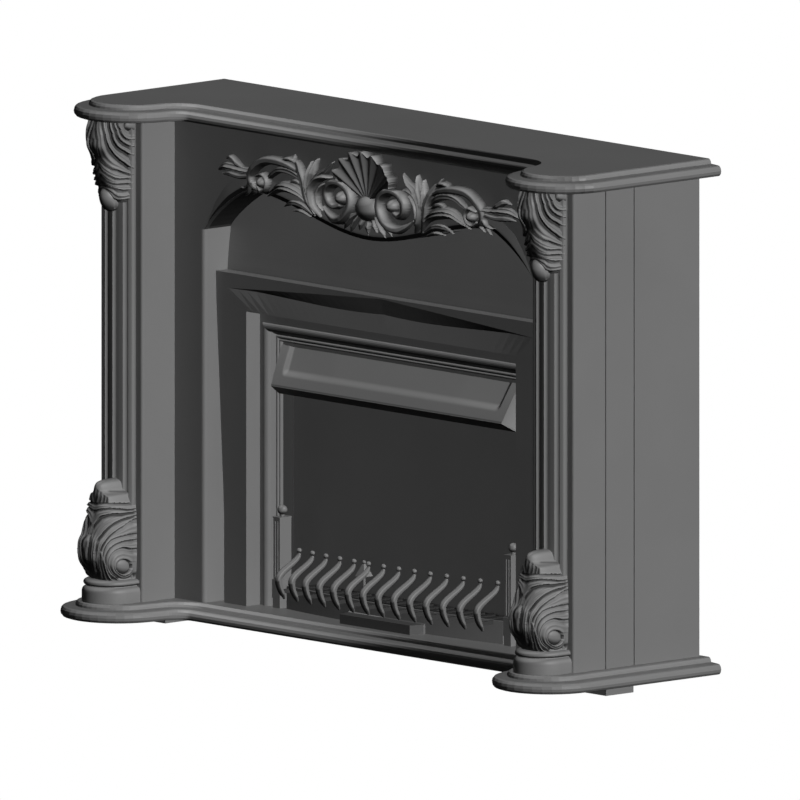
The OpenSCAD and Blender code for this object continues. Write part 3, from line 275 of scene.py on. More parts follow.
def smooth(points, count):
    """Even samples along a smooth curve through the points (rows of any number of values)."""
    p = np.asarray(points, dtype=float)
    p = np.vstack([2 * p[0] - p[1], p, 2 * p[-1] - p[-2]])
    dense = []
    for i in range(1, len(p) - 2):
        for t in np.linspace(0, 1, CURVE_STEPS, endpoint=False):
            dense.append(0.5 * (2 * p[i] + (p[i + 1] - p[i - 1]) * t
                                + (2 * p[i - 1] - 5 * p[i] + 4 * p[i + 1] - p[i + 2]) * t ** 2
                                + (3 * p[i] - p[i - 1] - 3 * p[i + 1] + p[i + 2]) * t ** 3))
    dense = np.array(dense + [p[-2]])
    run = np.concatenate([[0], np.cumsum(np.linalg.norm(np.diff(dense[:, :2], axis=0), axis=1))])
    at = np.linspace(0, run[-1], count)
    return np.column_stack([np.interp(at, run, dense[:, k]) for k in range(dense.shape[1])])


def read_table(z, table):
    """Values of a table of (z, value) rows, read at z along a smooth curve."""
    t = smooth(table, TABLE_SAMPLES)
    order = np.argsort(t[:, 0])
    return np.interp(z, t[order, 0], t[order, 1])


def hollows(h, cells, depth, gleam):
    """Painted shade and highlight of a height map: 1 where it lies deep below its surroundings, down to
    -gleam on its ridges.
    """
    soft = h
    for axis in (0, 1, 0, 1):
        soft = sum(np.roll(soft, k, axis) for k in range(-cells, cells + 1)) / (2 * cells + 1)
    over = (h - soft) / depth
    return unit(-over) - gleam * unit(over)


# ---------- carved reliefs on the frieze ----------

RELIEF_STEP = 1.25
STROKE_SAMPLES, SAMPLES_PER_POINT = 16, 6
LEAF_ROUND, LEAST_HALF = 2.4, 0.3


class Relief:
    """Height map in front of the frieze; strokes are carved leaves and ribbons."""

    def __init__(self, x0, x1, z0, z1):
        self.gx, self.gz = np.meshgrid(np.arange(x0, x1 + RELIEF_STEP, RELIEF_STEP),
                                       np.arange(z0, z1 + RELIEF_STEP, RELIEF_STEP))
        self.h = np.full(self.gx.shape, -1.0)

    def clear(self, where):
        """Takes away what is carved there."""
        self.h = np.where(where, -1, self.h)

    def stroke(self, line, height, rib=0.0, ribs=2, lean=0.0):
        """Leaf along a line of (x, z, half width) with heights along it; rib is the depth of its
        veins, ribs is their number, and lean makes one side higher."""
        s = smooth(line, max(STROKE_SAMPLES, SAMPLES_PER_POINT * len(line)))
        near = np.full(self.gx.shape, np.inf)
        across, along = np.zeros(self.gx.shape), np.zeros(self.gx.shape)
        for i, (a, b) in enumerate(zip(s, s[1:])):
            run = b[:2] - a[:2]
            length = np.hypot(*run) + 1e-9
            u = run / length
            rx, rz = self.gx - a[0], self.gz - a[1]
            t = unit((rx * u[0] + rz * u[1]) / length)
            dx, dz = rx - t * run[0], rz - t * run[1]
            away = np.hypot(dx, dz) / np.maximum(a[2] + t * (b[2] - a[2]), LEAST_HALF)
            better = away < near
            near = np.where(better, away, near)
            across = np.where(better, np.sign(u[0] * dz - u[1] * dx) * away, across)
            along = np.where(better, (i + t) / (len(s) - 1), along)
        peak = np.interp(along, np.linspace(0, 1, len(height)), height)
        form = np.sqrt(np.maximum(0, 1 - np.abs(across) ** LEAF_ROUND))
        vein = 1 - rib * (0.5 - 0.5 * np.cos(math.pi * ribs * (across + 1)))
        value = peak * form * vein * (1 + lean * across)
        self.h = np.where(near < 1, np.maximum(self.h, value), self.h)

    def dome(self, x, z, rx, height, rz=None):
        """Round or oval boss."""
        rr =((self.gx - x) / rx) ** 2 + ((self.gz - z) / (rz or rx)) ** 2
        value = height * np.sqrt(np.maximum(0, 1 - rr))
        self.h = np.where(rr < 1, np.maximum(self.h, value), self.h)

    def build(self, name, node, mirrored=False):
        """Closed mesh of everything that stands out from the frieze."""
        h = np.maximum(self.h, 0)
        cols = h.shape[1]
        live = (h[:-1, :-1] > 0) | (h[1:, :-1] > 0) | (h[:-1, 1:] > 0) | (h[1:, 1:] > 0)
        # Painted shade in the carving's hollows and painted highlight on its ridges.
        shade = hollows(h, cells=3, depth=7.0, gleam=0.45).ravel()
        x, z, height = (-self.gx if mirrored else self.gx).ravel(), self.gz.ravel(), h.ravel()
        used, points, faces, painted_shading = {}, [], [], []

        def vertex(i, base):
            key = (i, base and height[i] > 0)
            if key not in used:
                used[key] = len(points)
                points.append((x[i], JAMB_D if base else JAMB_D + height[i], z[i]))
                painted_shading.append(shade[i])
            return used[key]

        for r, c in zip(*np.nonzero(live)):
            i = r * cols + c
            quad = [i, i + 1, i + cols + 1, i + cols]
            front = [vertex(k, False) for k in quad]
            rear = [vertex(k, True) for k in quad[::-1]]
            faces += [front[::-1], rear[::-1]] if mirrored else [front, rear]
        piece(name, points, faces, node, sharp=60, painted_shading=painted_shading)


# The branches leave this corner free for the C-scrolls, which end below its upper edge.
CREST_X, CREST_TOP = 108, 956


def carve_branch(r):
    """Acanthus branch to the right of the shell."""
    r.stroke([(112, 958, 3), (132, 957, 6), (152, 947, 8), (163, 925, 8), (158, 898, 7), (142, 876, 4)],
             [14, 20, 22, 22, 20, 8], rib=0.12)
    r.stroke([(121, 945, 2), (136, 938, 4), (146, 922, 4), (146, 903, 3), (136, 888, 1)],
             [8, 14, 15, 13, 5])
    r.stroke([(168, 900, 6), (160, 930, 9), (146, 955, 9), (122, 972, 6), (104, 990, 0.6)],
             [10, 18, 19, 16, 7], rib=0.3)
    r.stroke([(168, 905, 5), (166, 938, 8), (158, 965, 8), (149, 992, 0.6)],
             [12, 20, 22, 10], rib=0.22, lean=0.12)
    r.stroke([(170, 905, 4), (174, 938, 7), (172, 962, 6), (167, 984, 0.6)], [12, 20, 20, 8], rib=0.15)
    r.stroke([(160, 876, 3), (176, 910, 6), (184, 942, 8), (203, 972, 7), (214, 980, 3)],
             [6, 20, 24, 22, 12], rib=0.2, ribs=1)
    r.stroke([(196, 958, 4), (226, 969, 7), (262, 974, 9), (300, 972, 9), (328, 958, 9), (345, 938, 8),
              (341, 918, 6), (325, 910, 4)],
             [16, 20, 22, 22, 22, 22, 18, 12], rib=0.14, ribs=1)
    r.stroke([(206, 974, 3), (222, 982, 5), (240, 981, 5), (254, 973, 0.8)], [10, 16, 16, 6], lean=0.1)
    r.stroke([(214, 982, 2), (220, 992, 0.5)], [12, 6])
    r.stroke([(186, 936, 4), (205, 950, 6), (232, 958, 7), (262, 957, 6), (286, 944, 5), (304, 930, 2)],
             [10, 16, 18, 18, 15, 6], rib=0.3, ribs=1)
    r.stroke([(190, 930, 2), (206, 938, 4), (222, 938, 4), (236, 930, 0.6)], [8, 13, 12, 4],
             rib=0.2, ribs=1)
    r.stroke([(160, 880, 3), (182, 908, 8), (216, 922, 12), (252, 924, 11), (280, 912, 7), (303, 899, 0.8)],
             [8, 16, 20, 20, 14, 5], rib=0.34, ribs=3)
    r.stroke([(165, 876, 2), (196, 892, 5), (228, 894, 5), (252, 884, 0.6)], [6, 12, 12, 4],
             rib=0.3, ribs=1)
    r.stroke([(174, 872, 2), (200, 880, 3.5), (228, 878, 0.6)], [5, 9, 3])
    r.dome(312, 926, 12, 21)
    r.stroke([(325, 938, 4), (306, 942, 5), (296, 930, 5), (300, 914, 5), (314, 908, 4), (326, 916, 3)],
             [14, 16, 16, 15, 13, 10])
    r.stroke([(340, 944, 6), (366, 944, 7), (396, 946, 8), (424, 946, 8), (446, 938, 2)],
             [18, 16, 17, 14, 5], rib=0.4)
    r.stroke([(352, 934, 4), (380, 930, 5), (412, 932, 5), (436, 930, 0.8)], [14, 13, 11, 3],
             rib=0.2, ribs=1)
    r.stroke([(372, 948, 3), (394, 960, 6), (408, 966, 5), (424, 962, 0.8)], [10, 16, 14, 4],
             rib=0.2, ribs=1)
    r.stroke([(345, 930, 5), (352, 916, 4), (366, 908, 3), (381, 910, 0.5)], [16, 12, 8, 3])
    r.stroke([(338, 922, 5), (336, 908, 4), (345, 898, 0.6)], [14, 10, 3])
    r.stroke([(346, 926, 4), (356, 904, 3), (366, 894, 0.5)], [12, 8, 3])


def carve_crest(r):
    """Boss under the shell, the two C-scrolls beside it and the drops under it."""
    for side in (1, -1):
        def on_side(line):
            return [(side * x, z, half) for x, z, half in line]

        r.stroke(on_side([(134, 897, 1), (116, 884, 6), (92, 875, 9), (68, 880, 9), (50, 896, 9),
                          (42, 918, 9), (50, 940, 9), (74, 952, 9), (100, 948, 9), (115, 932, 9),
                          (112, 912, 8), (98, 902, 7), (82, 906, 6)]),
                 [6, 14, 20, 24, 25, 25, 25, 26, 26, 25, 22, 18, 14], rib=0.1, ribs=1)
        r.dome(side * 76, 921, 14, 22)
        r.stroke(on_side([(30, 896, 3), (46, 886, 5), (60, 872, 5), (72, 858, 0.6)]), [10, 16, 14, 5],
                 rib=0.2, ribs=1)
        r.stroke(on_side([(24, 892, 3), (34, 880, 4), (44, 866, 4), (52, 853, 0.5)]), [9, 13, 12, 4])
        r.stroke(on_side([(14, 888, 3), (20, 874, 4), (27, 860, 0.5)]), [9, 13, 5], rib=0.2, ribs=1)
    r.stroke([(0, 888, 4), (0, 872, 5), (0, 854, 0.6)], [9, 14, 5], rib=0.25, ribs=1)
    r.dome(0, 908, 32, 27, 26)


def carve_shell(r):
    """Scallop shell: seven ribs that fan out from the hinge over hollow flutes."""
    hinge_z, reach, spread, pitch = 922.0, 104.0, math.radians(66), math.radians(18.8)
    base_h, rise, flute, rim_h, most_h = 9, 19, 10, 40, 28.5
    rim_from = 0.93
    dx, dz = r.gx, r.gz - hinge_z
    a, dist = np.arctan2(dx, dz), np.hypot(dx, dz)
    wave = 0.5 + 0.5 * np.cos(2 * math.pi * a / pitch)
    rim = reach * (0.9 + 0.1 * wave) * unit(1.04 - 0.12 * (np.abs(a) / spread) ** 3)
    t = unit(dist / rim)
    h = base_h + rise * t ** 1.3 - flute * t * (1 - wave) ** 0.7
    h = np.where(t > rim_from, h + (t - rim_from) * rim_h * (1 - wave), h)
    r.h = np.where((dist < rim) & (np.abs(a) < spread), np.minimum(h, most_h), -1)


for side, mirrored in (("right", False), ("left", True)):
    branch = Relief(100, 452, 864, 1000)
    carve_branch(branch)
    branch.clear((branch.gx < CREST_X) & (branch.gz < CREST_TOP))
    branch.build("carved_scroll_" + side, "scroll_" + side, mirrored)

crest = Relief(-140, 140, 850, CREST_TOP)
carve_crest(crest)
crest.clear(crest.gz > CREST_TOP)
crest.build("carved_crest_scrolls", "crest_scrolls")

shell = Relief(-102, 102, 926, 1029)
carve_shell(shell)
shell.build("carved_shell", "shell_crest")

# ---------- carved brackets ----------

LOWER_Z0, LOWER_Z1, UPPER_Z0 = 101, 301, 861
PROUD = 0.4  # the carved bodies start this far in front of the pilaster
FLANK_HALF = 42.0
BODY_ROWS, BODY_COLS = 200, 181
MOST_GLEAM = 0.35

# Carving plans lie in the photo's picture plane, with x to the right and y down; the back edge of a
# flank meets the shelf at FLANK_X, FLANK_Y.
PLAN_UNIT = 2.0
PLAN_RIGHT = [round(part / PLAN_UNIT, 4) for part in RIGHT]
PLAN_UP = [round(part / PLAN_UNIT, 4) for part in UP]
FLANK_X, FLANK_Y = 135.3, 119.2

# Leaves: least width, width of the outermost one, drop behind a crest (for each unit of width, and
# its limits), ripples on the rise to a crest, width of the fall after it, and the painted shade behind it.
LEAST_LEAF, OUTER_LEAF = 0.2, 12
LEAF_SLOPE, LEAST_DROP, MOST_DROP, EYE_DEPTH = 1.1, 1.0, 8.0, 6.4
RISE_SHARE, RISE_POWER, RIPPLE, RIPPLES = 0.8, 0.8, 0.1, 5
FALL_WIDTH, SHADE_SHARE, SHADE_GAIN = 0.7, 0.6, 2.2

UPPER_EYE = (131.5, 125.5, 5.3)
UPPER_CRESTS = [
    [(120.3, 112), (120.5, 130), (123, 136), (127, 139.5), (134, 140.3), (142, 140.5)],
    [(116.5, 112), (116.8, 131), (119, 138), (123, 142.5), (128, 145.3), (142, 148)],
    [(112.3, 112), (112.3, 134), (114.5, 142), (118.5, 147.5), (125, 151.5), (142, 158)],
    [(105.5, 110), (105, 134), (107.5, 144), (112, 152), (118, 158.5), (125, 163.5), (142, 173)],
    [(101, 110), (97, 140), (97.5, 152), (100.5, 161), (106, 166), (112, 169.3), (118, 170.5),
     (126, 173.5), (142, 176)],
    [(95, 110), (92, 140), (94, 152), (97.5, 163), (102, 171), (108, 175.5), (115, 178.8), (120, 179.2),
     (127, 178.5), (142, 177.5)],
    [(90, 110), (87, 140), (90, 155), (95, 168), (101, 176), (107, 182), (113, 184), (120, 184.3),
     (127, 183.7), (142, 182.5)],
    [(85, 110), (83, 140), (87, 155), (92, 170), (98, 180), (106, 186), (112, 187.5), (118, 189.5),
     (124, 190.7), (131, 189.7), (142, 187.5)],
    [(80, 110), (78, 140), (82, 160), (88, 180), (98, 190), (106, 191), (111, 196), (114, 200),
     (118, 201.7), (124, 201), (130, 199.7), (142, 198)],
]
UPPER_SHADE = [1.2, 1.2, 3.4, 3.4, 3.4, 1.6, 1.6, 1.6, 2.0, 2.0]

LOWER_EYE = (124, 567, 7.2)
LOWER_CRESTS = [
    [(124, 582), (116, 577), (111, 573), (108.5, 566), (109.5, 559), (113, 553), (118, 549.5),
     (124, 547.8), (130, 549), (142, 552)],
    [(113, 580), (107.5, 572), (105.5, 564), (106, 556), (110, 549), (115, 545), (122, 542),
     (131, 540.5), (142, 540)],
    [(108, 582), (104.5, 572), (103, 563), (103.5, 553), (107, 545), (112, 540), (118, 537.5),
     (124, 536), (131, 534.5), (142, 534)],
    [(104, 584), (101.5, 572), (100, 560), (101, 549), (105, 542), (110, 536), (116, 531.5),
     (124, 526.5), (133, 520), (142, 516)],
    [(98, 586), (96, 572), (94.5, 560), (95, 549), (96.5, 541), (101, 535.5), (106, 530), (112, 525),
     (118, 521.5), (124, 518.8), (131, 517), (142, 514)],
    [(90, 588), (88, 572), (87.5, 560), (88, 545), (90, 535), (93, 525), (100, 517), (110, 514.5),
     (122, 514), (142, 512.5)],
    [(84, 588), (82, 565), (82, 545), (85, 530), (89, 518), (94, 511), (104, 509), (116, 509),
     (127, 510), (142, 509.5)],
    [(78, 590), (77, 560), (78, 540), (82, 525), (86, 511), (92, 504), (102, 503), (116, 503),
     (127, 503), (142, 502.5)],
]
LOWER_SHADE = [1.2, 1.6, 1.2, 1.8, 3.0, 3.4, 1.6, 1.6, 1.6]

# Half width and projection of the bracket bodies at heights z.
UPPER_HALF = [(861, 25), (863, 31), (866, 35), (871, 38), (880, 40), (900, 41), (940, 41), (985, 42),
              (1030, 42)]
UPPER_PROJ = [(861, 22), (863, 30), (866, 36), (871, 41), (885, 46), (905, 54), (935, 60), (955, 66),
              (976, 77), (992, 78), (1010, 76), (1030, 70)]
LOWER_HALF = [(101, 42), (110, 45), (140, 47), (200, 47), (240, 45), (251, 43), (255, 39), (262, 36.5),
              (269, 34), (273, 31), (276, 25), (282, 22), (289, 20), (295, 17.5), (299, 13.5), (301, 8)]
LOWER_PROJ = [(101, 63), (108, 71), (125, 84), (141, 95), (165, 98), (181, 96), (197, 86), (230, 75),
              (250, 72), (270, 72), (284, 70), (291, 68), (296, 64), (299, 57), (301, 46)]


def flank_plan(x, d, z):
    """Where the photo shows a point of a right flank; x is measured from the bracket's middle."""
    across, away, up = np.abs(x) - FLANK_HALF, FRONT_D - d, z - SHELF_Z
    to_right = PLAN_RIGHT[0] * across + PLAN_RIGHT[1] * away
    to_top = PLAN_UP[0] * across + PLAN_UP[1] * away + PLAN_UP[2] * up
    return FLANK_X + to_right, FLANK_Y - to_top


def polar(x, y, eye):
    """Turn round an eye (0 is up, 90 degrees is forward, 180 is down) and distance from it."""
    least_turn = -60  # behind and above the eye, where no crest runs
    turn = np.degrees(np.arctan2(eye[0] - x, eye[1] - y))
    return np.where(turn < least_turn, turn + 360, turn), np.hypot(x - eye[0], y - eye[1])


def fan(x, y, eye, crests, shade, folded=False):
    """Heights and painted shade of leaves that turn round an eye: each rises from the crest before it to
    its own and drops there. shade is the width of the painted shade in the recess behind each crest;
    folded leaves have it on their far side."""
    turn, r = polar(x, y, eye)
    edges = [np.zeros_like(r), np.full_like(r, eye[2])]
    for crest in crests:
        line = np.asarray(crest, dtype=float)
        at, far = polar(line[:, 0], line[:, 1], eye)
        order = np.argsort(at)
        edges.append(np.maximum(np.interp(turn, at[order], far[order]), edges[-1] + LEAST_LEAF))
    edges.append(edges[-1] + OUTER_LEAF)
    ball = np.sqrt(np.maximum(0, 1 - (r / edges[1]) ** 2))
    ball = np.minimum(ball, unit((edges[1] - r) / FALL_WIDTH))
    h = np.where(r < edges[1], -EYE_DEPTH * (1 - ball), 0)
    dark = np.zeros_like(r)
    for start, end, widest in zip(edges[1:], edges[2:], shade):
        inside = (r >= start) & (r < end)
        wide = end - start
        near, far = (end - r, r - start) if folded else (r - start, end - r)
        t = unit(near / wide)
        drop = np.clip(LEAF_SLOPE * wide, LEAST_DROP, MOST_DROP)
        rise = np.minimum(1, (t / RISE_SHARE) ** RISE_POWER) + RIPPLE * np.sin(RIPPLES * math.pi * t)
        h = np.where(inside, -drop * (1 - np.minimum(rise, unit(far / FALL_WIDTH))), h)
        reach = np.minimum(SHADE_SHARE * wide, widest)
        dark = np.where(inside, unit(SHADE_GAIN * (1 - near / reach)), dark)
    return h, dark


def carve_upper(x, y):
    """Acanthus of the upper brackets: flutes round an eye, with broad leaves and a hollow under them."""
    hollow_x, hollow_y, half_w, half_h, depth = 99, 182, 7, 6, 3
    h, dark = fan(x, y, UPPER_EYE, UPPER_CRESTS, UPPER_SHADE)
    hollow = bell(x - hollow_x, half_w) * bell(y - hollow_y, half_h)
    # The hollow is also painted dark as shade.
    return h - depth * hollow, np.maximum(dark, np.clip(1.7 * hollow, 0, 0.95))


def under_cap(x, y):
    """Height and painted shade of the grooved hollow and the step under the lower brackets' cap."""
    corner_x, corner_y, slant, end_x = 92.5, 485, 0.75, 108.5
    step_x, step_y, step_half = 107, 491.5, 1.0
    corner_fade, end_fade, step_fade = 2.5, 2, 3
    depth, groove_depth, groove_turn, groove_slant = 5, 3, 1.5, 0.25
    inside = unit((y - corner_y - slant * (x - corner_x)) / corner_fade) * unit((end_x - x) / end_fade)
    grooves = 0.5 + 0.5 * np.cos(groove_turn * (x + groove_slant * y))
    step = bell(y - step_y, step_half) * unit((x - step_x) / step_fade)
    return -inside * (depth - groove_depth * grooves), unit(inside * (0.85 - 0.5 * grooves) + 0.6 * step)


def strands(x, y):
    """1 on the two thin strands between the eye and the front of the lower brackets."""
    outer_x, outer_y, outer_slant, outer_half, outer_end = 95.5, 560, 0.15, 1.3, 569
    inner_x, inner_y, inner_slant, inner_half = 105.5, 566, 0.36, 1.2
    outer = bell(x - outer_x - outer_slant * (y - outer_y), outer_half) * (y < outer_end)
    return np.maximum(outer, bell(x - inner_x - inner_slant * (y - inner_y), inner_half))


def carve_lower(x, y):
    """Acanthus of the lower brackets: leaves rise from the eye at the foot and fold over at the top."""
    cap_y, strand_y, strand_h = 503, 552, 2
    foot_y, foot_fade, foot_x, foot_side = 556, 7, 110, 5
    h, dark = fan(x, y, LOWER_EYE, LOWER_CRESTS, LOWER_SHADE, folded=True)
    cap_h, cap_dark = under_cap(x, y)
    h, dark = np.where(y < cap_y, cap_h, h), np.where(y < cap_y, cap_dark, dark)
    strand = strands(x, y)
    # Painted shade low on the flank, towards its front.
    foot = np.clip((y - foot_y) / foot_fade, 0, 0.85) * unit((foot_x - x) / foot_side)
    return h + strand_h * strand * (y > strand_y), np.maximum(dark, foot) * (1 - strand)


def drooping_tip(x_mid):
    """Leaf tip that hangs in front of an upper bracket: its points, faces and painted shading, with painted
    shade at its top and a painted highlight low down.
    """
    rows, cols = 44, 48
    mid_z, half_h, radius, reach, lean = 868, 26, 19, 34, 6
    lower_power, upper_power = 0.75, 1.3  # blunt below its middle and slender above it
    groove_depth, groove_half, groove_from = 0.07, 0.16, 0.8
    shade_z, shade_fade, gleam = 884, 8, 0.2
    points, painted_shading = [], []
    for i in range(rows):
        a = math.pi * (i + 0.5) / rows
        z = mid_z - half_h * math.cos(a)
        wide = math.sin(a) ** (lower_power if a < math.pi / 2 else upper_power)
        centre = FRONT_D + reach + lean * (z - mid_z) / half_h
        for j in range(cols):
            b = 2 * math.pi * j / cols
            groove = groove_depth * bell(math.cos(b), groove_half) * (a > groove_from)
            r = radius * wide * (1 - groove)
            points.append((x_mid + r * math.sin(b), centre + r * math.cos(b), z))
            painted_shading.append(min(1, max(-gleam, (z - shade_z) / shade_fade)))
    return np.array(points), skin(rows, cols), painted_shading


def bracket_body(z, half_table, proj_table):
    """Half rings of a rounded body at the heights z: x from its middle, and d."""
    blunt, lobe_blunt = 0.6, 0.9  # the lobes on top of the lower brackets are rounder
    lobe_z, lobe_fade = 270, 12
    phi = np.linspace(-math.pi / 2, math.pi / 2, BODY_COLS)
    lobe = unit((z - lobe_z) / lobe_fade) * (z <= LOWER_Z1)
    power = (blunt + (lobe_blunt - blunt) * lobe)[:, None]
    x = read_table(z, half_table)[:, None] * blunted(np.sin(phi), power)
    d = read_table(z, proj_table)[:, None] * np.maximum(np.cos(phi), 0) ** power
    return x, FRONT_D + PROUD + d


def bracket(name, node, heights, half_table, proj_table, carve, x_mid):
    """Carved bracket: a rounded body with the same carving on both flanks. The upper one has a tip."""
    edge_fade, top_fade = 4.0, 2.0  # the carving ends this softly at the body's edges and top
    front_half, front_share = 25, 0.35  # nearer to the front's middle the carving is shallower
    z = np.linspace(*heights, BODY_ROWS)
    x, d = bracket_body(z, half_table, proj_table)
    zz = np.repeat(z[:, None], BODY_COLS, axis=1)
    push, dark = carve(*flank_plan(x, d, zz))
    seg = np.hypot(np.diff(x, axis=1), np.diff(d, axis=1))
    run = np.concatenate([np.zeros((BODY_ROWS, 1)), np.cumsum(seg, axis=1)], axis=1)
    ends = unit((z - heights[0]) / edge_fade) * unit((heights[1] - z) / top_fade)
    fade = unit(np.minimum(run, run[:, -1:] - run) / edge_fade) * ends[:, None]
    push = np.where(push < 0, push * np.clip(np.abs(x) / front_half, front_share, 1), push) * fade
    tx, td = np.gradient(x, axis=1), np.gradient(d, axis=1)
    n = np.hypot(tx, td) + 1e-9
    x = x - td / n * push
    d = np.maximum(d + tx / n * push, FRONT_D + PROUD)
    d[:, 0] = d[:, -1] = FRONT_D + PROUD
    points = np.stack([x_mid + x, d, zz], axis=2).reshape(-1, 3)
    # Painted shade from the carving's darkness and its hollows, painted highlight on its ridges.
    shade = dark + hollows(push, cells=2, depth=5.0, gleam=0.5)
    shade = (np.clip(shade, -MOST_GLEAM, 1) * fade).ravel()
    faces = skin(BODY_ROWS, BODY_COLS, flip=True)
    if carve is carve_upper:
        tip, tip_faces, tip_shade = drooping_tip(x_mid)
        faces += [tuple(len(points) + i for i in f) for f in tip_faces]
        points, shade = np.concatenate([points, tip]), np.concatenate([shade, tip_shade])
    piece(name, points, faces, node, sharp=70, painted_shading=shade)


for side, sign in SIDES:
    bracket("carved_upper_" + side, "upper_bracket_" + side, (UPPER_Z0, SHELF_Z),
            UPPER_HALF, UPPER_PROJ, carve_upper, sign * EAR_X)
    bracket("carved_lower_" + side, "lower_bracket_" + side, (LOWER_Z0, LOWER_Z1),
            LOWER_HALF, LOWER_PROJ, carve_lower, sign * EAR_X)

# ---------- pedestals ----------

PEDESTAL_R, PEDESTAL_REACH, PEDESTAL_PROUD, PEDESTAL_STEPS = 57, 30, 0.2, 49
# Shoulder, neck and torus: height and how far the outline lies inside the pedestal's.
PEDESTAL_PROFILE = [(55, 0), (76, 0), (80, 0.8), (83.5, 3), (86, 6.5), (87, 9), (88.4, 9.6), (88.8, 7),
                    (90, 5), (92, 3.6), (94.5, 3.2), (97, 4.2), (99, 6), (100.4, 8.6), (101, 10)]


def pedestal(side, sign):
    """D-shaped pedestal with a rounded shoulder, a neck and a torus on top."""
    rear, centre = FRONT_D + PEDESTAL_PROUD, FRONT_D + PEDESTAL_REACH
    turns = np.linspace(0, math.pi, PEDESTAL_STEPS)
    points = []
    for z, inset in PEDESTAL_PROFILE:
        r = PEDESTAL_R - inset
        ring = [(r, rear), (-r, rear)] + [(-r * math.cos(a), centre + r * math.sin(a)) for a in turns]
        points += [(sign * EAR_X + x, d, z) for x, d in ring]
    faces = skin(len(PEDESTAL_PROFILE), len(ring), flip=True)
    piece("turned_pedestal_" + side, points, faces, "pedestal_" + side, sharp=40)


for side, sign in SIDES:
    pedestal(side, sign)

# ---------- frieze edge ----------

# Lower edge of the frieze: x of its two peaks, width and power of its round corners, heights.
PEAK_X, ARCH_CORNER, CORNER_POWER = 359.0, 133.0, 1.6
SPRING_Z, ARCH_RISE, PENDANT_DROP = 810.0, 95.0, 62
CORNER_TURN = (160, 92)  # degrees round the left corner
LIP_TAPER, LIP_END = 9, 0.4  # points over which the lip narrows at each end, and what is left there
# How far up the frieze, how far in front of it, and how dark its painted shade is.
LIP_SECTION = [(30, -0.4, 0), (30, 0.1, 0), (13, 2.6, 0), (9.5, 3.0, 0.1), (8.2, 2.8, 0.95),
               (0.3, 0.5, 0.95), (0.3, -0.4, 0.95)]


def arch_line():
    """Lower edge of the frieze from left to right: a round corner, the pendant curve, a round corner."""
    left = [(-PEAK_X - ARCH_CORNER * abs(math.cos(a)) ** CORNER_POWER,
             SPRING_Z + ARCH_RISE * math.sin(a) ** CORNER_POWER)
            for a in np.radians(np.linspace(*CORNER_TURN, 18))]
    middle = [(-PEAK_X * (1 - 2 * t),
               SPRING_Z + ARCH_RISE - PENDANT_DROP * (1 - math.cos(2 * math.pi * t)) / 2)
              for t in np.linspace(0, 1, 61)]
    return np.array(left + middle + [(-x, z) for x, z in left[::-1]])


def frieze_lip():
    """Bevelled lip along the serpentine lower edge of the frieze, with painted shade on its under side."""
    line = arch_line()
    along = np.gradient(line, axis=0)
    along /= np.linalg.norm(along, axis=1)[:, None]
    points, shade = [], []
    for i, ((x, z), (run_x, run_z)) in enumerate(zip(line, along)):
        wide = min(1, (LIP_END + min(i, len(line) - 1 - i)) / LIP_TAPER)
        for reach, proud, dark in LIP_SECTION:
            d = JAMB_D + proud * (wide if proud > 0 else 1)
            points.append((x - reach * wide * run_z, d, z + reach * wide * run_x))
            shade.append(dark)
    faces = skin(len(line), len(LIP_SECTION))
    lip = piece("frieze_lip", points, faces, "frieze", sharp=50, stands_for=False, painted_shading=shade)
    # The lip takes the soffit material, with its painted shade.
    lip.data.materials[0] = SOFFIT


frieze_lip()

# ---------- canopy ----------

CANOPY_HALF, CANOPY_LIP_HALF, CANOPY_T = 354.0, 343.0, 4.0
# Section of the hood, as (d, z): head, lip, rear of the return under it, and the closed ends' rear d.
CANOPY_HEAD, CANOPY_LIP, CANOPY_REAR, CANOPY_END_D = (167.0, 584.0), (207.0, 506.0), (176.0, 487.0), 162
PANEL_MARGIN, PANEL_FADE = 22, 13
PANEL_FOOT, PANEL_FOOT_FADE = 0.74, 0.2  # shares of the slope's length
PANEL_DEPTH, PANEL_MORE, PANEL_MORE_FADE = 2.2, 2.8, 160  # the panel is deeper near its ends
CROWN, END_INSET = 1.2, 0.05
CANOPY_GLEAM = -0.12


def plate(front, rear):
    """Closed shell between two grids of points of one shape."""
    rows, cols = front.shape[:2]
    faces = []
    n = rows * cols
    for i in range(rows - 1):
        for j in range(cols - 1):
            a = i * cols + j
            faces.append((a, a + 1, a + cols + 1, a + cols))
            faces.append((n + a + cols, n + a + cols + 1, n + a + 1, n + a))
    rim = list(range(cols)) + [i * cols + cols - 1 for i in range(1, rows)]
    rim += [(rows - 1) * cols + j for j in range(cols - 2, -1, -1)]
    rim += [i * cols for i in range(rows - 2, 0, -1)]
    for a, b in zip(rim, rim[1:] + rim[:1]):
        faces.append((b, a, n + a, n + b))
    return np.concatenate([front.reshape(-1, 3), rear.reshape(-1, 3)]), faces


def eased(t):
    """Smooth step from 0 to 1."""
    return (3 - 2 * t) * t ** 2


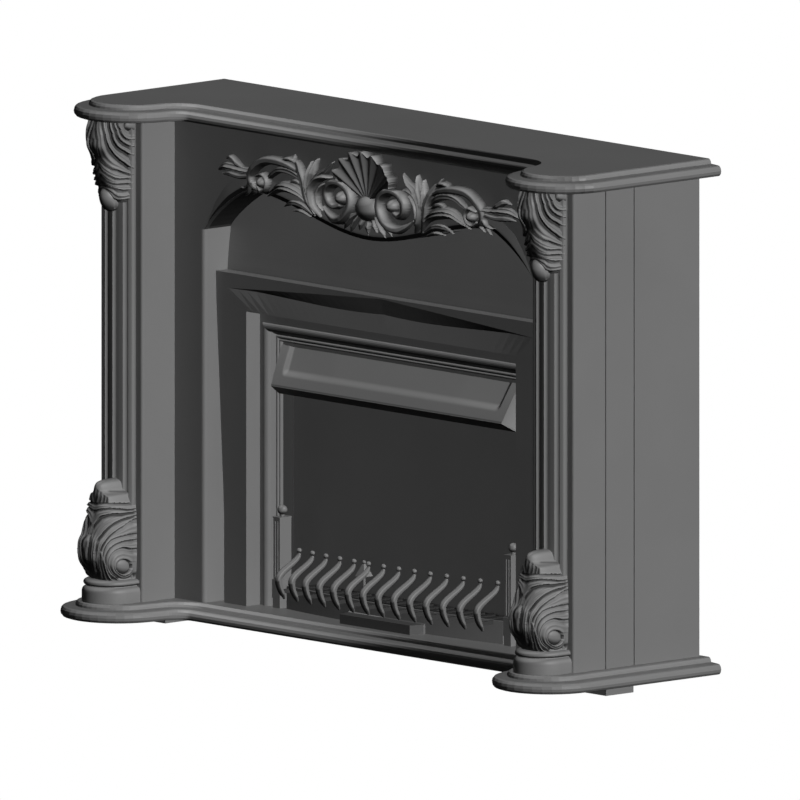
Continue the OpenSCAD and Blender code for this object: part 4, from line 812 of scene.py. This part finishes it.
def canopy_slope():
    """The hood's slope with its dished panel, with finer columns where the panel ends."""
    t = np.linspace(0, 1, 60)[:, None]
    right_end = np.linspace(0.8, 1, 60)
    s = np.concatenate([-right_end[::-1], np.linspace(-0.79, 0.79, 80), right_end])
    half = CANOPY_HALF + (CANOPY_LIP_HALF - CANOPY_HALF) * t
    x = half * s
    slope = np.array(CANOPY_LIP) - CANOPY_HEAD
    out = np.array([-slope[1], slope[0]]) / np.hypot(*slope)
    side = half - np.abs(x)
    dish = eased(unit((side - PANEL_MARGIN) / PANEL_FADE)) * eased(unit((PANEL_FOOT - t) / PANEL_FOOT_FADE))
    deep = PANEL_DEPTH + PANEL_MORE * unit(1 - side / PANEL_MORE_FADE)
    lift = CROWN * np.sin(math.pi * t) * (1 - dish) - deep * dish
    d, z = (CANOPY_HEAD[k] + slope[k] * t + out[k] * lift for k in (0, 1))
    front = np.stack([x, d, z], axis=2)
    return plate(front, front - np.array([0, *out]) * CANOPY_T)


def canopy_return():
    """Plate that runs back under the lip, half a millimetre below it."""
    rows, cols, below = 6, 30, 0.5
    t = np.repeat(np.linspace(0, 1, rows)[:, None], cols, axis=1)
    x = (CANOPY_LIP_HALF + (CANOPY_HALF - CANOPY_LIP_HALF) * t) * np.linspace(-1, 1, cols)
    d, z = (CANOPY_LIP[k] + (CANOPY_REAR[k] - CANOPY_LIP[k]) * t for k in (0, 1))
    under = np.stack([x, d, z - below], axis=2)
    return plate(under, under + np.array([0, -1.0, CANOPY_T]))


def canopy_end(sign):
    """Flat end of the hood."""
    half = CANOPY_HALF - END_INSET
    head, rear = (half, *CANOPY_HEAD), (half, *CANOPY_REAR)
    lip = (CANOPY_LIP_HALF - END_INSET, *CANOPY_LIP)
    top_rear, low_rear = (half, CANOPY_END_D, CANOPY_HEAD[1]), (half, CANOPY_END_D, CANOPY_REAR[1])
    grid = np.array([[top_rear, low_rear, low_rear], [head, lip, rear]]) * (sign, 1, 1)
    if sign > 0:
        grid = grid[::-1]
    return plate(grid, grid - np.array([sign * CANOPY_T, 0, 0]))


def canopy():
    """Hood with a dished panel on its slope, a lip, a return under it and two closed ends."""
    shells = [canopy_slope(), canopy_return(), canopy_end(-1), canopy_end(1)]
    points, faces = [], []
    for shell_points, shell_faces in shells:
        faces += [tuple(len(points) + i for i in face) for face in shell_faces]
        points += shell_points.tolist()
    # Painted highlight on the front face of the hood's slope.
    gleam = np.zeros(len(points))
    gleam[:len(shells[0][0]) // 2] = CANOPY_GLEAM
    piece("dished_canopy", points, faces, "canopy", sharp=40, painted_shading=gleam)


canopy()

# ---------- fret ----------

APRON_HALF, APRON_D, APRON_H, FRET_BOW = 322.0, 184.0, 46.0, 24.0
APRON_R = (APRON_HALF ** 2 + FRET_BOW ** 2) / (2 * FRET_BOW)
BARS, BAR_MARGIN, BAR_HALF, BAR_HALF_T = 14, 26.9, 6.6, 6.5
# Heights over the base, and distances from the apron's front.
BAR_TIP_H, BELLY_H, BAR_TOP_H = 27, 66, 114.8
BELLY_REACH, TOP_REACH, TIP_SHARE = 42, -14, 0.62
LUG_HALF, LUG_H, LUG_REACH = 3, 8.0, 33.6


def apron_front(x):
    """d of the bowed apron's front."""
    return APRON_D + math.sqrt(APRON_R ** 2 - x * x) - (APRON_R - FRET_BOW)


def bar_line(t):
    """S-shaped middle line of a bar from its lower tip (0) to its top (1): reach and height."""
    belly = BELLY_REACH * (TIP_SHARE + (1 - TIP_SHARE) * np.sin(math.pi * t))
    neck = TOP_REACH + (BELLY_REACH - TOP_REACH) * (0.5 - 0.5 * np.cos(2 * math.pi * t))
    height = np.interp(t, [0, 0.5, 1], [BAR_TIP_H, BELLY_H, BAR_TOP_H])
    return np.where(t < 0.5, belly, neck), height


def bar_shade(t, a):
    """Painted shade on the flanks below the belly, and light painted shade in stripes above it."""
    below, above = unit((0.5 - t) / 0.04), t > 0.5
    flank = unit((0.98 - np.cos(a)) / 0.15) * (np.sin(a) > -0.4)
    return flank * below + 0.22 * above * np.cos(3 * a) ** 2


def fret_bars():
    """S-shaped bars with a rounded front, narrowing to a pointed lower tip, each with a lug to the apron."""
    rows, cols, blunt = 40, 20, 0.7
    thin_share, thin_power, thin_start, thin_turn = 0.16, 0.8, 0.05, 0.88
    tip_width, tip_taper, top_width, top_taper = 0.35, 5.0, 0.5, 4.0
    t = np.linspace(0, 1, rows)[:, None]
    a = np.linspace(0, 2 * math.pi, cols, endpoint=False)
    reach, height = bar_line(t)
    swell = np.sin(math.pi * (thin_start + t * thin_turn)) ** thin_power
    thick = BAR_HALF_T * (thin_share + (1 - thin_share) * swell)
    wide = BAR_HALF * unit(tip_width + tip_taper * t) * unit(top_width + top_taper * (1 - t))
    dr, dh = np.gradient(reach, axis=0), np.gradient(height, axis=0)
    n = np.hypot(dr, dh)
    u = blunted(np.cos(a), blunt) * wide
    v = blunted(np.sin(a), blunt) * thick
    bar = np.stack([u, reach + v * dh / n, FLOOR_Z + height - v * dr / n], axis=2).reshape(-1, 3)
    top = FLOOR_Z + APRON_H
    lug = [(LUG_HALF, top - LUG_H), (LUG_HALF, top), (-LUG_HALF, top), (-LUG_HALF, top - LUG_H)]
    points, faces, shade = [], [], []
    for x in np.linspace(-1, 1, BARS) * (APRON_HALF - BAR_MARGIN):
        front = apron_front(x)
        faces += skin(rows, cols, flip=True, start=len(points))
        points += (bar + (x, front, 0)).tolist()
        faces += skin(2, len(lug), start=len(points))
        points += [(x + side, d, z) for d in (front - 1, front + LUG_REACH) for side, z in lug]
        # The lugs are painted fully dark as shade.
        shade += bar_shade(t, a).ravel().tolist() + [1] * 2 * len(lug)
    piece("rounded_fret_bars", points, faces, "fret_bars", body="fret", sharp=45, painted_shading=shade)


fret_bars()

# ---------- floor, world, lights and camera ----------

WHITE = (1, 1, 1, 1)
FLOOR_TONE = (0.06, 0.06, 0.06, 1)
FLOOR_SIZE, FLOOR_DOWN = 24.0, -0.0005
SKY_LIGHT, SUN_ANGLE = 0.014, 12
# The key light throws no shadows, as in the photo; the fill lights the back and leaves no glints.
KEY_FROM, KEY_STRENGTH = (0.876, -0.141, 0.462), 2.75
FILL_FROM, FILL_STRENGTH = (-0.45, 0.88, 0.06), 1.3


def seen_apart(tree, lighting, seen, output):
    """Shows one shader to the camera, and the other to all other rays."""
    path = add_node(tree, "LightPath")
    mix = add_node(tree, "MixShader", {0: path.outputs["Is Camera Ray"], 1: lighting.outputs[0],
                                       2: seen.outputs[0]})
    add_node(tree, output, {0: mix.outputs[0]})


def white_surface(name):
    """White to the camera, nearly black to the light that falls on it."""
    material = empty_material(name)
    tree = material.node_tree
    diffuse = add_node(tree, "BsdfDiffuse", {"Color": FLOOR_TONE})
    glow = add_node(tree, "Emission", {"Color": WHITE})
    seen_apart(tree, diffuse, glow, "OutputMaterial")
    return material


def white_world():
    """White to the camera, with a weak even light on everything."""
    world = bpy.data.worlds.new("studio")
    world.use_nodes = True
    tree = world.node_tree
    tree.nodes.clear()
    dim = add_node(tree, "Background", {"Color": WHITE, "Strength": SKY_LIGHT})
    white = add_node(tree, "Background", {"Color": WHITE, "Strength": 1.0})
    seen_apart(tree, dim, white, "OutputWorld")
    return world


def sun(name, towards, strength, shadow):
    """Sun whose light comes from the direction towards."""
    data = bpy.data.lights.new(name, "SUN")
    data.energy = strength
    data.angle = math.radians(SUN_ANGLE)
    data.use_shadow = shadow
    obj = bpy.data.objects.new(name, data)
    obj.rotation_euler = Vector(towards).to_track_quat("Z", "Y").to_euler()
    bpy.context.scene.collection.objects.link(obj)
    return obj


bpy.ops.mesh.primitive_plane_add(size=FLOOR_SIZE, location=(0, 0, FLOOR_DOWN))
floor = bpy.context.object
floor.name = "floor"
floor.data.materials.append(white_surface("floor_white"))

bpy.context.scene.world = white_world()

sun("key", KEY_FROM, KEY_STRENGTH, shadow=False)
rear_fill = sun("rear_fill", FILL_FROM, FILL_STRENGTH, shadow=True)
rear_fill.data.specular_factor = 0.0
rear_fill.visible_glossy = False

cam_data = bpy.data.cameras.new("camera")
cam_data.type = "ORTHO"
cam_data.ortho_scale = VIEW_WIDTH
cam_data.clip_end = CLIP_END
camera = bpy.data.objects.new("camera", cam_data)
cam_axes = Matrix((RIGHT, UP, BACK)).transposed().to_4x4()
camera.matrix_world = Matrix.Translation(VIEW_CENTRE + BACK * CAMERA_AWAY) @ cam_axes
bpy.context.scene.collection.objects.link(camera)
bpy.context.scene.camera = camera
bpy.context.scene.view_settings.view_transform = "Standard"
